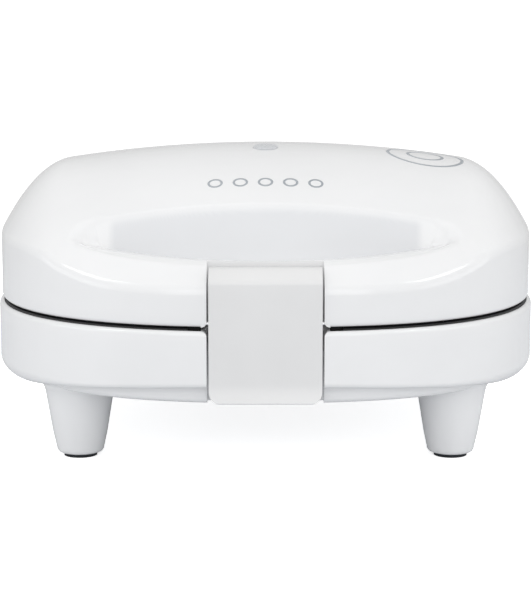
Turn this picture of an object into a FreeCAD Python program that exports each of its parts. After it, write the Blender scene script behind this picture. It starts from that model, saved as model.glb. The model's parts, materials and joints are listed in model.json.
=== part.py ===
"""Donut maker: a lid hinged on a base with four legs, two seven-ring plates and a front latch.

Millimetres. While a piece is built, X is across, Y is depth back from the front of the
lid, and Z is height above the plane where lid and base part. save() then moves it so
that the origin is under the middle of the object at floor level, with +Z up.
"""
import FreeCAD, Part
import os
from math import cos, degrees, pi, radians, sin, sqrt, tan

V = FreeCAD.Vector
X_AXIS = V(1, 0, 0)
Y_AXIS = V(0, 1, 0)
Z_AXIS = V(0, 0, 1)

# Outline seen from above: a superellipse.
plan_power = 2.4
plan_points = 64
lid_half_width = 112.8
lid_half_depth = 106.0
base_overhang = 1.3
middle_y = lid_half_depth

# Heights above and below the parting plane.
half_gap = 0.75
floor_drop = 59.5
base_bottom = -30.0
base_wall_round = 13.0
edge_round = 1.8

# Crown of the lid.
crown_top = 63.4
crown_fall_front = 0.0042
crown_fall_rear = 0.0022
crown_fall_side = 0.0009
crown_corner = 1.7e-7
shoulder_start = 85.0
shoulder_fall = 0.03
ridge_round = 5.5
crown_wall = 2.8

# Walls.
rim_wall = 1.9
lid_wall = 3.0
base_wall = 3.3
base_floor_wall = 2.6
pocket_wall = 2.2
skin_round = 10.5

# Grip recess behind the front of the lid.
grip_front_y = 8.5
grip_front_radius = 142.0
grip_back_y = 38.0
grip_back_radius = 420.0
grip_tip_radius = 7.6
grip_crest = 25.0
grip_crest_radius = 714.0
grip_crest_width = 9.5
grip_floor = 20.0
grip_pocket_tip = 5.0
grip_floor_round = 3.0

# Finger relief under the front of the base.
relief_crease = -22.3
relief_arch_radius = 756.0
relief_setback = 4.2
relief_round = 3.0
relief_depth_y = 70.0

# Latch.
notch_half_width = 22.6
notch_flare = 2.0
lid_notch_depth = 17.5
base_notch_depth = 12.0
latch_half_width = 21.8
latch_face_y = -0.5
latch_wall = 2.6
latch_pin_y = 3.6
latch_pin_z = 1.9
latch_pin_radius = 0.75
latch_hub_radius = 2.5
latch_lip_y = -2.4
latch_foot_z = -28.3
latch_foot_back_y = 0.6
latch_corner = 4.0
latch_top_y = 9.0
latch_top_drop = 0.7
latch_bend_z = 12.5
spring_room_x = 6.5
hook_half_width = 16.0
hook_back_y = 1.5
pin_boss_depth = 8.0
pin_room_y = 8.5
spring_wire = 0.32
spring_mean = 1.55
spring_turns = 7.25
spring_pitch = 1.1
latch_catch_z = -12.0
latch_catch_reach = 4.2
pin_boss_end = 29.5

# Hinge.
hinge_y = 216.0
hinge_radius = 6.0
hinge_gap = 0.6
hinge_pin_radius = 2.5
barrel_inner_x = 6.0
barrel_outer_x = 29.7
ear_inner_x = 30.0
ear_outer_x = 40.0
hinge_zone_x = 46.0
hinge_zone_y = 203.5
hinge_pin_inner_x = 14.0
hinge_head_proud = 1.1
hinge_head_thick = 1.2
hinge_web_y = 206.0
hinge_web_top = 5.4
cable_slot_half_width = 4.5
cable_slot_near = 5.0
cable_slot_far = 12.0
cable_radius = 2.4
cable_level = 8.5

# Legs: two in front, two at the rear.
leg_places = [(75.7, 45.0), (-75.7, 45.0), (68.0, 178.0), (-68.0, 178.0)]
leg_root_radius = 13.7
leg_end_radius = 9.65
leg_end_round = 2.0
leg_root_flare = 1.6
leg_root_z = -25.0
leg_core_floor = -50.0
leg_core_low_radius = 7.0
leg_core_high_radius = 11.0
leg_screw_boss_radius = 3.4
pad_radius = 6.75
pad_proud = 1.5
pad_sunk = 1.5

# Baking plates.
plate_y = 110.0
plate_half_width = 99.0
plate_half_depth = 88.0
plate_face = 0.6
plate_back = 3.6
plate_lip = 0.25
plate_lip_width = 2.6
ring_pitch = 58.4
ring_radius = 17.5
ring_hollow = 9.0
ring_skin = 11.2
ring_edge_round = 0.8
post_radius = 4.0
post_ring = ring_pitch / sqrt(3)

# Frames that hold the plates.
frame_clear = 0.4
frame_top = 0.15
frame_screw_angles = [0, 50, 130, 180, 230, 310]
frame_screw_inset = 6.4
screw_core = 1.3
screw_clear = 1.7
screw_head_clear = 3.3
frame_head_sunk = 2.6
boss_radius = 4.5
base_boss_radius = 5.6
boss_length = 11.0

# Heaters and heat shields.
heater_radius = 3.0
heater_arc = 58.0
heater_level = 15.0
heater_exit_x = 9.0
heater_exit_arc = 10.0
heater_end_y = 70.0
shield_sheet = 0.8
shield_inset = 4.2
shield_depth = 18.8
shield_step_depth = 12.6
shield_step_y = 46.0

# Indicator.
lamp_y = 92.0
lens_radius = 5.3
holder_ear_x = 11.0
holder_low = 48.0
holder_high = 50.0

# Cut-outs and mains wiring under the lower heat shield.
thermostat_x = -50.0
thermostat_y = 108.0
thermostat_ear_x = 11.5
fuse_x = 30.0
fuse_y = 118.0
fuse_z = -24.0
fuse_length = 12.0
block_front = 176.0
block_back = 188.0
block_middle = 182.0
block_bore_z = -25.2
block_pitch = 9.0
wire_level = -24.6
wire_radius = 1.1
lamp_wire_radius = 0.8

# Cord inlet.
gland_z = -17.5
gland_bore_radius = 3.2
gland_neck_radius = 4.6
gland_neck_inside = 6.0
gland_flange_radius = 7.0
gland_flange_thick = 2.4

front_to_middle = (hinge_y + hinge_radius + latch_lip_y) / 2


def plan_radius(half_width, half_depth, angle):
    across = (abs(cos(angle)) / half_width) ** plan_power
    along = (abs(sin(angle)) / half_depth) ** plan_power
    return (across + along) ** (-1 / plan_power)


def plan_point(half_width, half_depth, y, angle, z=0.0):
    reach = plan_radius(half_width, half_depth, angle)
    return V(reach * cos(angle), y + reach * sin(angle), z)


def plan_wire(half_width, half_depth, y, z):
    points = []
    for step in range(plan_points):
        angle = 2 * pi * step / plan_points
        points.append(plan_point(half_width, half_depth, y, angle, z))
    curve = Part.BSplineCurve()
    curve.interpolate(Points=points, PeriodicFlag=True)
    return Part.Wire(curve.toShape())


def plan_prism(half_width, half_depth, y, low, high):
    face = Part.Face(plan_wire(half_width, half_depth, y, low))
    return face.extrude(V(0, 0, high - low))


def box(x0, x1, y0, y1, z0, z1):
    return Part.makeBox(x1 - x0, y1 - y0, z1 - z0, V(x0, y0, z0))


def rod(radius, start, end):
    run = end - start
    return Part.makeCylinder(radius, run.Length, start, run)


def rod_x(radius, x0, x1, y, z):
    return rod(radius, V(min(x0, x1), y, z), V(max(x0, x1), y, z))


def turned(points, place=V(0, 0, 0)):
    """A solid turned about a vertical line; points are (radius, height) pairs."""
    outline = [V(radius, 0, height) for radius, height in points]
    outline.append(outline[0])
    body = Part.Face(Part.makePolygon(outline)).revolve(V(0, 0, 0), Z_AXIS, 360)
    body.translate(place)
    return body


def level_edges(shape, z):
    found = []
    for edge in shape.Edges:
        span = edge.BoundBox
        if abs(span.ZMin - z) < 0.02 and abs(span.ZMax - z) < 0.02:
            found.append(edge)
    return found


def mirror_up(shape):
    """The lower piece's twin above the parting plane."""
    return shape.mirror(V(0, 0, 0), Z_AXIS)


def both_sides(shape):
    return [shape, shape.mirror(V(0, 0, 0), X_AXIS)]


def flipped(place):
    """The same place on the other side of the middle."""
    return V(-place.x, place.y, place.z)


def tube(points, bends, radius):
    """A round bar along straight runs joined by tangent arcs."""
    edges = []
    here = points[0]
    for index in range(1, len(points) - 1):
        corner = points[index]
        arrive = (corner - points[index - 1]).normalize()
        leave = (points[index + 1] - corner).normalize()
        half_turn = arrive.getAngle(leave) / 2
        cut = bends[index - 1] * tan(half_turn)
        first = corner - arrive * cut
        last = corner + leave * cut
        inward = (leave - arrive).normalize()
        centre = corner + inward * (bends[index - 1] / cos(half_turn))
        edges.append(Part.LineSegment(here, first).toShape())
        middle = centre - inward * bends[index - 1]
        edges.append(Part.Arc(first, middle, last).toShape())
        here = last
    edges.append(Part.LineSegment(here, points[-1]).toShape())
    return swept(Part.Wire(edges), radius, points[1] - points[0])


def swept(path, radius, direction):
    start = path.OrderedVertexes[0].Point
    section = Part.Wire(Part.makeCircle(radius, start, direction))
    return path.makePipeShell([section], True, False)


def screw(place, up, head_radius=3.0, head_height=2.0, shank_radius=1.25, length=12.0):
    """A pan-head screw whose head rests at place; up is +1 when the shank points up."""
    rest = V(0, 0, 0)
    head = Part.makeCylinder(head_radius, head_height, rest, V(0, 0, -1))
    head = head.makeFillet(0.5, level_edges(head, -head_height))
    arm = head_radius * 0.6
    depth = head_height * 0.5
    for half_x, half_y in ((arm, 0.4), (0.4, arm)):
        head = head.cut(box(-half_x, half_x, -half_y, half_y, -head_height, -head_height + depth))
    shank = Part.makeCylinder(shank_radius, length, rest, Z_AXIS)
    tip = turned([(0, length), (shank_radius, length), (0, length + shank_radius)])
    body = head.fuse([shank, tip]).removeSplitter()
    if up < 0:
        body.rotate(rest, X_AXIS, 180)
    body.translate(place)
    return body


def crown_height(x, y):
    forward = middle_y - y
    fall = crown_fall_front if forward > 0 else crown_fall_rear
    corner = crown_corner if forward > 0 else 0.0
    shoulder = max(0.0, abs(x) - shoulder_start)
    drop = fall * forward ** 2 + crown_fall_side * x ** 2
    drop += corner * x ** 2 * forward ** 2 + shoulder_fall * shoulder ** 2
    return crown_top - drop


def below_crown(drop):
    """Everything under the crown surface lowered by drop."""
    reach_x = lid_half_width + 8
    reach_y = lid_half_depth + 8
    steps = 28
    rows = []
    for i in range(steps + 1):
        x = reach_x * (2 * i / steps - 1)
        row = []
        for j in range(steps + 1):
            y = middle_y + reach_y * (2 * j / steps - 1)
            row.append(V(x, y, crown_height(x, y) - drop))
        rows.append(row)
    surface = Part.BSplineSurface()
    surface.interpolate(rows)
    return surface.toShape().extrude(V(0, 0, -110))


def crescent(front_inset, tip, grow, low, high):
    """Upright solid between two arcs, its tips rounded; grow widens it all round."""
    front_centre = grip_front_y + grip_front_radius
    back_centre = grip_back_y + grip_back_radius
    front = grip_front_radius - front_inset + grow
    back = grip_back_radius - grow
    tip = tip + grow
    inner = front - tip
    outer = back + tip
    squares = front_centre ** 2 - back_centre ** 2 - inner ** 2 + outer ** 2
    tip_y = squares / (2 * (front_centre - back_centre))
    tip_x = sqrt(inner ** 2 - (tip_y - front_centre) ** 2)
    front_dir = V(tip_x, tip_y - front_centre, 0).normalize()
    back_dir = V(tip_x, tip_y - back_centre, 0).normalize()
    front_end = V(0, front_centre, low) + front_dir * front
    back_end = V(0, back_centre, low) + back_dir * back
    outward = (front_dir - back_dir).normalize()
    tip_end = V(tip_x, tip_y, low) + outward * tip
    edges = [
        Part.Arc(flipped(front_end), V(0, front_centre - front, low), front_end).toShape(),
        Part.Arc(front_end, tip_end, back_end).toShape(),
        Part.Arc(back_end, V(0, back_centre - back, low), flipped(back_end)).toShape(),
        Part.Arc(flipped(back_end), flipped(tip_end), flipped(front_end)).toShape(),
    ]
    return Part.Face(Part.Wire(edges)).extrude(V(0, 0, high - low))


def grip_recess(grow):
    """Scoop over the crest, and behind it the pocket for the fingers."""
    high = crown_top + 10
    scoop = crescent(0.0, grip_tip_radius, grow, grip_floor - 6, high)
    crest_z = grip_crest - grow + grip_crest_radius
    above_crest = Part.makeCylinder(grip_crest_radius, 120, V(0, -20, crest_z), Y_AXIS)
    scoop = scoop.common(above_crest)
    pocket_low = grip_floor - grow
    pocket = crescent(grip_crest_width, grip_pocket_tip, grow, pocket_low, high)
    pocket = pocket.makeFillet(grip_floor_round, level_edges(pocket, pocket_low))
    return scoop.fuse(pocket)


def notch(edge_z, far_z, depth):
    """Latch notch, flared where it meets the parting gap at edge_z."""
    start_y = -10
    inside = notch_flare if far_z > edge_z else -notch_flare
    beyond = edge_z - 3 * inside
    wide = notch_half_width + notch_flare
    share = 1 - sqrt(0.5)
    right = V(notch_half_width, start_y, edge_z + inside)
    right_end = V(wide, start_y, edge_z)
    right_mid = V(notch_half_width + notch_flare * share, start_y, edge_z + inside * share)
    top = V(notch_half_width, start_y, far_z)
    low = V(wide, start_y, beyond)
    edges = [
        Part.LineSegment(top, right).toShape(),
        Part.Arc(right, right_mid, right_end).toShape(),
        Part.LineSegment(right_end, low).toShape(),
        Part.LineSegment(low, flipped(low)).toShape(),
        Part.LineSegment(flipped(low), flipped(right_end)).toShape(),
        Part.Arc(flipped(right_end), flipped(right_mid), flipped(right)).toShape(),
        Part.LineSegment(flipped(right), flipped(top)).toShape(),
        Part.LineSegment(flipped(top), top).toShape(),
    ]
    return Part.Face(Part.Wire(edges)).extrude(V(0, depth - start_y, 0))


def notch_block(low, high, depth):
    wide = notch_half_width + pocket_wall
    return box(-wide, wide, -10, depth + pocket_wall, low, high)


def frame_screw_places():
    width = lid_half_width - frame_screw_inset
    depth = lid_half_depth - frame_screw_inset
    places = []
    for angle in frame_screw_angles:
        places.append(plan_point(width, depth, middle_y, radians(angle)))
    return places


def post_places():
    places = []
    for angle in (30, 150, 210, 330):
        turn = radians(angle)
        places.append(V(post_ring * cos(turn), plate_y + post_ring * sin(turn), 0))
    return places


def ring_places():
    places = [V(0, plate_y, 0)]
    for step in range(6):
        turn = radians(60 * step)
        places.append(V(ring_pitch * cos(turn), plate_y + ring_pitch * sin(turn), 0))
    return places


def lean_forward(shape):
    """Moves a piece built at the origin to the indicator's seat, square to the crown."""
    slope = 2 * crown_fall_front * (middle_y - lamp_y)
    shape.rotate(V(0, 0, 0), X_AXIS, degrees(slope))
    shape.translate(V(0, lamp_y, crown_height(0, lamp_y)))
    return shape


def lid_shell():
    body = plan_prism(lid_half_width, lid_half_depth, middle_y, half_gap, crown_top + 20)
    body = body.common(below_crown(0.0))
    ridge = [edge for edge in body.Edges if edge.BoundBox.ZMin > half_gap + 3]
    body = body.makeFillet(ridge_round, ridge)
    body = body.makeFillet(edge_round, level_edges(body, half_gap))
    return body


def lid_hollow():
    room = plan_prism(lid_half_width - lid_wall, lid_half_depth - lid_wall, middle_y,
                      plate_back, crown_top + 20)
    room = room.common(below_crown(crown_wall))
    rim = plan_prism(lid_half_width - rim_wall, lid_half_depth - rim_wall, middle_y,
                     half_gap - 1, plate_back)
    kept = grip_recess(pocket_wall).fuse(notch_block(-5, grip_crest + 3, lid_notch_depth))
    return [room.cut(kept), rim.cut(notch_block(-5, grip_crest + 3, lid_notch_depth))]


def lid_housing():
    body = lid_shell()
    body = body.cut(grip_recess(0.0))
    body = body.cut(notch(half_gap, grip_crest + 12, lid_notch_depth))
    body = body.cut(lid_hollow())
    extras = []
    for place in frame_screw_places():
        low = V(place.x, place.y, plate_back + shield_sheet)
        extras.append(Part.makeCylinder(boss_radius, boss_length, low))
    extras += both_sides(box(notch_half_width + 1.5, pin_boss_end, 2, pin_boss_depth, half_gap, 8))
    for side in (-1, 1):
        ear_x = holder_ear_x * side
        top = crown_height(ear_x, lamp_y) - crown_wall + 1
        low = V(ear_x, lamp_y, holder_high)
        extras.append(Part.makeCylinder(3.0, top - holder_high, low))
    body = body.fuse(extras)
    body = body.fuse(lid_hinge_solids())
    return body.cut(lid_holes())


def lid_hinge_solids():
    solids = []
    knuckle = rod_x(hinge_radius, barrel_inner_x, barrel_outer_x, hinge_y, 0)
    web = box(barrel_inner_x, barrel_outer_x, hinge_web_y, hinge_y, half_gap, hinge_web_top)
    seat = box(barrel_outer_x - 2, hinge_zone_x - 2, 204, 210, half_gap, 9.5)
    for solid in (knuckle, web, seat):
        solids += both_sides(solid)
    return solids


def lid_holes():
    holes = []
    for place in frame_screw_places():
        low = V(place.x, place.y, plate_back)
        holes.append(Part.makeCylinder(screw_core, 10, low))
    reach = pin_boss_end - 1
    holes.append(rod_x(latch_pin_radius + 0.01, -reach, reach, latch_pin_y, latch_pin_z))
    for side in (-1, 1):
        holes.append(Part.makeCylinder(1.05, 7, V(holder_ear_x * side, lamp_y, 49)))
    holes += both_sides(rod_x(hinge_radius + hinge_gap, barrel_outer_x + 0.1, ear_outer_x + 1.8,
                              hinge_y, 0))
    holes += both_sides(rod_x(hinge_pin_radius + 0.06, 12, 35, hinge_y, 0))
    slot = cable_slot_half_width
    holes.append(box(-slot, slot, 200, 218, cable_slot_near, cable_slot_far))
    holes.append(lean_forward(Part.makeCylinder(lens_radius + 0.05, 12, V(0, 0, -6))))
    return holes


def base_shell():
    width = lid_half_width + base_overhang
    depth = lid_half_depth + base_overhang
    body = plan_prism(width, depth, middle_y, base_bottom, -half_gap)
    body = body.makeFillet(base_wall_round, level_edges(body, base_bottom))
    return body.makeFillet(edge_round, level_edges(body, -half_gap))


def relief_zone(setback, lift):
    """Space cut away under the front: below an arch and outside a smaller plan."""
    arch_z = relief_crease + lift - relief_arch_radius
    below = Part.makeCylinder(relief_arch_radius, relief_depth_y + 20, V(0, -20, arch_z), Y_AXIS)
    zone = below.common(box(-105, 105, -20, relief_depth_y, -45, -10))
    width = lid_half_width - setback
    depth = lid_half_depth - setback
    belly = plan_prism(width, depth, middle_y, base_bottom + lift, 0)
    belly = belly.makeFillet(relief_round, level_edges(belly, base_bottom + lift))
    return zone.cut(belly)


def base_outside():
    return base_shell().cut(relief_zone(relief_setback, 0.0))


def leg(x, y):
    """Tapered leg that flares where it meets the underside, hollow round a screw boss."""
    drop = -floor_drop + pad_proud
    slope = (leg_root_radius - leg_end_radius) / (base_bottom - drop)
    root = leg_root_radius + slope * (leg_root_z - base_bottom)
    outer = turned([(0, drop), (leg_end_radius, drop), (root, leg_root_z), (0, leg_root_z)])
    outer = outer.makeFillet(leg_end_round, level_edges(outer, drop))
    collar_low = base_bottom - leg_root_flare
    collar_top = base_bottom + 0.5
    collar = turned([(0, collar_low), (leg_root_radius - 0.2, collar_low),
                     (leg_root_radius + leg_root_flare, collar_top), (0, collar_top)])
    core = turned([(0, leg_core_floor), (leg_core_low_radius, leg_core_floor),
                   (leg_core_high_radius, leg_root_z + 1), (0, leg_root_z + 1)])
    boss_height = leg_root_z - leg_core_floor
    boss = Part.makeCylinder(leg_screw_boss_radius, boss_height, V(0, 0, leg_core_floor))
    seat = Part.makeCylinder(pad_radius + 0.05, pad_sunk, V(0, 0, drop))
    hole = Part.makeCylinder(screw_core, boss_height, V(0, 0, leg_core_floor + 4))
    body = outer.fuse(collar).cut([core, seat]).fuse(boss).cut(hole)
    body.translate(V(x, y, 0))
    return body.cut(base_outside())


def legs():
    return [leg(x, y) for x, y in leg_places]


def leg_screws():
    level = base_bottom + base_floor_wall
    return [screw(V(x, y, level), -1, length=10.0) for x, y in leg_places]


def base_hollow():
    room = plan_prism(lid_half_width + base_overhang - base_wall,
                      lid_half_depth + base_overhang - base_wall, middle_y,
                      base_bottom + base_floor_wall, 5)
    room = room.makeFillet(skin_round, level_edges(room, base_bottom + base_floor_wall))
    rim = plan_prism(lid_half_width + base_overhang - rim_wall,
                     lid_half_depth + base_overhang - rim_wall, middle_y, -plate_back, 5)
    block = notch_block(-45, 10, base_notch_depth)
    kept = block.fuse(relief_zone(relief_setback + pocket_wall, pocket_wall))
    return [room.cut(kept), rim.cut(block)]


def base_housing():
    body = base_outside()
    body = body.cut(notch(-half_gap, -45, base_notch_depth))
    body = body.cut(base_hollow())
    extras = []
    for place in frame_screw_places():
        low = V(place.x, place.y, -plate_back - shield_sheet - boss_length)
        extras.append(Part.makeCylinder(base_boss_radius, boss_length, low))
    extras.append(latch_catch())
    extras += base_hinge_solids()
    body = body.fuse(extras)
    return body.cut(base_holes())


def latch_catch():
    """Ledge across the back of the notch that the latch hooks under."""
    low = latch_catch_z
    side = notch_half_width + 1
    near = base_notch_depth - latch_catch_reach
    back = base_notch_depth + 1
    outline = [V(-side, back, low), V(-side, near, low), V(-side, near, low + 2.5),
               V(-side, back, low + 5.5)]
    outline.append(outline[0])
    return Part.Face(Part.makePolygon(outline)).extrude(V(2 * side, 0, 0))


def base_hinge_solids():
    solids = [box(-32, 32, 205, 212, -14, -half_gap)]
    outline = [V(ear_inner_x, 207, -20), V(ear_inner_x, 212.6, -20),
               V(ear_inner_x, hinge_y + hinge_radius - 0.1, -1),
               V(ear_inner_x, hinge_y, -1), V(ear_inner_x, 207, -1)]
    outline.append(outline[0])
    cheek = Part.Face(Part.makePolygon(outline)).extrude(V(ear_outer_x - ear_inner_x, 0, 0))
    knuckle = rod_x(hinge_radius, ear_inner_x, ear_outer_x, hinge_y, 0)
    solids += both_sides(cheek) + both_sides(knuckle)
    return solids


def base_holes():
    holes = []
    for place in frame_screw_places():
        high = V(place.x, place.y, -plate_back)
        holes.append(Part.makeCylinder(screw_core, 10, high, V(0, 0, -1)))
    barrel = barrel_outer_x + 0.1
    holes.append(rod_x(hinge_radius + hinge_gap, -barrel, barrel, hinge_y, 0))
    holes += both_sides(rod_x(hinge_pin_radius + 0.02, 25, ear_outer_x + 1, hinge_y, 0))
    slot = cable_slot_half_width
    holes.append(box(-slot, slot, 203, 218, -cable_slot_far, -cable_slot_near))
    holes.append(Part.makeCylinder(gland_neck_radius, 20, V(0, 200, gland_z), Y_AXIS))
    for x, y in leg_places:
        holes.append(Part.makeCylinder(screw_clear, 6, V(x, y, base_bottom - 1)))
    return holes


def base_frame():
    """Heat-resistant ring between the lower plate and the base housing."""
    width = lid_half_width + base_overhang - rim_wall - 0.3
    depth = lid_half_depth + base_overhang - rim_wall - 0.3
    return plate_frame(width, depth, base_notch_depth)


def lid_frame():
    width = lid_half_width - rim_wall - 0.3
    depth = lid_half_depth - rim_wall - 0.3
    return mirror_up(plate_frame(width, depth, lid_notch_depth))


def plate_frame(width, depth, notch_depth):
    ring = plan_prism(width, depth, middle_y, -plate_back, -frame_top)
    ring = ring.makeChamfer(0.4, level_edges(ring, -frame_top))
    opening = plan_prism(plate_half_width + frame_clear, plate_half_depth + frame_clear, plate_y,
                         -plate_back - 1, 1)
    front = notch_block(-20, 20, notch_depth + 0.3)
    rear = box(-hinge_zone_x, hinge_zone_x, hinge_zone_y, 230, -20, 20)
    cuts = [opening, front, pin_room(), rear]
    for place in frame_screw_places():
        cuts.append(Part.makeCylinder(screw_clear, 20, V(place.x, place.y, -10)))
        cuts.append(Part.makeCylinder(screw_head_clear, 20, V(place.x, place.y, -frame_head_sunk)))
    return ring.cut(cuts)


def pin_room():
    """Space left in frames and shields for the bosses of the latch pin."""
    reach = pin_boss_end + 0.5
    return box(-reach, reach, -10, pin_room_y, -20, 20)


def ring_bowl(place, radius):
    """Half of a ring-shaped solid hanging from the plate's face."""
    left = V(ring_radius - radius, 0, -plate_face)
    right = V(ring_radius + radius, 0, -plate_face)
    low = V(ring_radius, 0, -plate_face - radius)
    edges = [Part.Arc(left, low, right).toShape(), Part.LineSegment(right, left).toShape()]
    bowl = Part.Face(Part.Wire(edges)).revolve(V(0, 0, 0), Z_AXIS, 360)
    bowl.translate(place)
    return bowl


def lower_plate():
    """Die-cast plate with seven ring hollows and four screw posts."""
    slab = plan_prism(plate_half_width, plate_half_depth, plate_y, -plate_back, -plate_lip)
    tray = plan_prism(plate_half_width - plate_lip_width, plate_half_depth - plate_lip_width,
                      plate_y, -plate_face, 1)
    slab = slab.cut(tray)
    solids = [ring_bowl(place, ring_skin) for place in ring_places()]
    for place in post_places():
        low = V(place.x, place.y, -shield_depth)
        solids.append(Part.makeCylinder(post_radius, shield_depth - plate_back + 1, low))
    body = slab.fuse(solids)
    cuts = [ring_bowl(place, ring_hollow) for place in ring_places()]
    for place in post_places():
        cuts.append(Part.makeCylinder(screw_core, 13.5, V(place.x, place.y, -shield_depth - 1)))
    body = body.cut(cuts)
    rims = []
    for edge in level_edges(body, -plate_face):
        if edge.BoundBox.XLength < 2 * (ring_radius + ring_hollow) + 1:
            rims.append(edge)
    return body.makeFillet(ring_edge_round, rims).removeSplitter()


def lower_heater():
    """Tubular element: most of a circle, with both ends turned to the rear."""
    centre = V(0, plate_y, -heater_level)
    bend_x = heater_exit_x + heater_exit_arc
    bend_y = sqrt((heater_arc + heater_exit_arc) ** 2 - bend_x ** 2)
    share = heater_arc / (heater_arc + heater_exit_arc)
    meet = V(bend_x * share, bend_y * share, 0)
    lift = V(bend_x, bend_y, 0)
    straight = V(heater_exit_x, bend_y, 0)
    inward = ((meet - lift) + (straight - lift)).normalize()
    middle = lift + inward * heater_exit_arc
    end = V(heater_exit_x, heater_end_y, 0)
    front = V(0, -heater_arc, 0)
    left = [centre + flipped(place) for place in (meet, middle, straight, end)]
    edges = [
        Part.LineSegment(centre + end, centre + straight).toShape(),
        Part.Arc(centre + straight, centre + middle, centre + meet).toShape(),
        Part.Arc(centre + meet, centre + front, left[0]).toShape(),
        Part.Arc(left[0], left[1], left[2]).toShape(),
        Part.LineSegment(left[2], left[3]).toShape(),
    ]
    return swept(Part.Wire(edges), heater_radius, V(0, -1, 0))


def heater_bushes():
    start = V(heater_exit_x, plate_y + heater_end_y, -heater_level)
    bush = rod(2.6, start, start + V(0, 3, 0)).cut(rod(1.2, start, start + V(0, 3, 0)))
    return both_sides(bush)


def heater_terminals():
    start = V(heater_exit_x, plate_y + heater_end_y, -heater_level)
    pin = rod(1.15, start, start + V(0, 6, 0))
    tab = box(start.x - 2.4, start.x + 2.4, start.y + 5, start.y + 10.5, start.z - 0.4, start.z + 0.4)
    return both_sides(pin.fuse(tab))


def shield(room, shell, cuts):
    flange = plan_prism(lid_half_width - lid_wall - 0.5, lid_half_depth - lid_wall - 0.5, middle_y,
                        -plate_back - shield_sheet, -plate_back)
    body = flange.fuse(shell).cut(room)
    cuts = cuts + [box(-hinge_zone_x, hinge_zone_x, hinge_zone_y, 230, -10, 0)]
    for place in frame_screw_places():
        cuts.append(Part.makeCylinder(screw_clear, 20, V(place.x, place.y, -10)))
    for place in post_places():
        cuts.append(Part.makeCylinder(1.6, 30, V(place.x, place.y, -30)))
    cuts.append(box(-15, 15, plate_y + 76, plate_y + 90, -18, -9))
    return body.cut(cuts).removeSplitter()


def shield_pan(extra, depth, front=-20.0):
    width = plate_half_width - shield_inset + extra
    length = plate_half_depth - shield_inset + extra + 0.5
    high = -plate_back if extra > 0 else -plate_back + 1
    pan = plan_prism(width, length, plate_y, -depth, high)
    return pan.common(box(-150, 150, front, 250, -60, 10))


def lower_heat_shield():
    room = shield_pan(0, shield_depth)
    shell = shield_pan(shield_sheet, shield_depth + shield_sheet)
    front = notch_block(-20, 20, base_notch_depth + 0.3)
    body = shield(room, shell, [front, pin_room()])
    return body.cut(thermostat_screw_holes())


def upper_heat_shield():
    """Stepped down at the front, under the grip pocket."""
    room = shield_pan(0, shield_step_depth).fuse(shield_pan(0, shield_depth, shield_step_y))
    shell = shield_pan(shield_sheet, shield_step_depth + shield_sheet)
    shell = shell.fuse(shield_pan(shield_sheet, shield_depth + shield_sheet,
                                  shield_step_y - shield_sheet))
    front = notch_block(-20, 20, lid_notch_depth + 0.3)
    return mirror_up(shield(room, shell, [front, pin_room()]))


def plate_screws():
    level = -shield_depth - shield_sheet
    return [screw(V(place.x, place.y, level), 1) for place in post_places()]


def frame_screws():
    return [screw(V(place.x, place.y, -frame_head_sunk), -1, length=8.0, head_height=1.6)
            for place in frame_screw_places()]


def thermostat():
    """Round cut-out with two spade terminals and a mounting ear each side."""
    top = -shield_depth - shield_sheet
    ear = box(-14, 14, -3.5, 3.5, top - 0.6, top)
    body = Part.makeCylinder(8, 4.8, V(0, 0, top - 5.4))
    rim = Part.makeCylinder(8.4, 0.6, V(0, 0, top - 0.6))
    tabs = [box(x - 2, x + 2, 7, 14, top - 4.2, top - 3.5) for x in (-4, 4)]
    whole = ear.fuse([body, rim] + tabs)
    ears = (-thermostat_ear_x, thermostat_ear_x)
    cuts = [Part.makeCylinder(1.6, 10, V(x, 0, top - 5)) for x in ears]
    whole = whole.cut(cuts)
    whole.translate(V(thermostat_x, thermostat_y, 0))
    return whole


def thermostat_screw_places():
    level = -shield_depth - shield_sheet
    ears = (-thermostat_ear_x, thermostat_ear_x)
    return [V(thermostat_x + x, thermostat_y, level) for x in ears]


def thermostat_screw_holes():
    below = V(0, 0, 1)
    return [Part.makeCylinder(screw_core, 4, place - below) for place in thermostat_screw_places()]


def thermostat_screws():
    return [screw(place - V(0, 0, 0.6), 1, head_radius=2.4, head_height=1.4, length=2.0)
            for place in thermostat_screw_places()]


def thermal_fuse():
    start = V(fuse_x, fuse_y, fuse_z)
    return rod(2.0, start, start + V(0, fuse_length, 0))


def terminal_block():
    body = box(-15, 15, block_front, block_back, -27.2, -20.6)
    cuts = []
    for x in (-block_pitch, 0, block_pitch):
        cuts.append(Part.makeCylinder(2.0, 4, V(x, block_middle, -24.4)))
        cuts.append(Part.makeCylinder(1.6, 20, V(x, block_front - 6, block_bore_z), Y_AXIS))
    return body.cut(cuts)


def terminal_screws():
    screws = []
    for x in (-block_pitch, 0, block_pitch):
        head = Part.makeCylinder(1.8, 1.8, V(x, block_middle, -23.4))
        slot = box(x - 2, x + 2, block_middle - 0.3, block_middle + 0.3, -22.4, -21)
        screws.append(head.cut(slot))
    return screws


def cord_gland():
    """Bushing that lines the cord inlet at the rear."""
    wall_y = middle_y + lid_half_depth + base_overhang
    start_y = wall_y - gland_neck_inside
    flange_y = wall_y + 0.1
    length = flange_y + gland_flange_thick - start_y
    neck = Part.makeCylinder(gland_neck_radius - 0.02, length, V(0, start_y, gland_z), Y_AXIS)
    flange = Part.makeCylinder(gland_flange_radius, gland_flange_thick, V(0, flange_y, gland_z), Y_AXIS)
    rims = []
    for edge in flange.Edges:
        if edge.BoundBox.YMin > flange_y + gland_flange_thick - 0.1:
            rims.append(edge)
    flange = flange.makeFillet(0.8, rims)
    bore = Part.makeCylinder(gland_bore_radius, length + 2, V(0, start_y - 1, gland_z), Y_AXIS)
    return neck.fuse(flange).cut(bore).removeSplitter()


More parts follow.
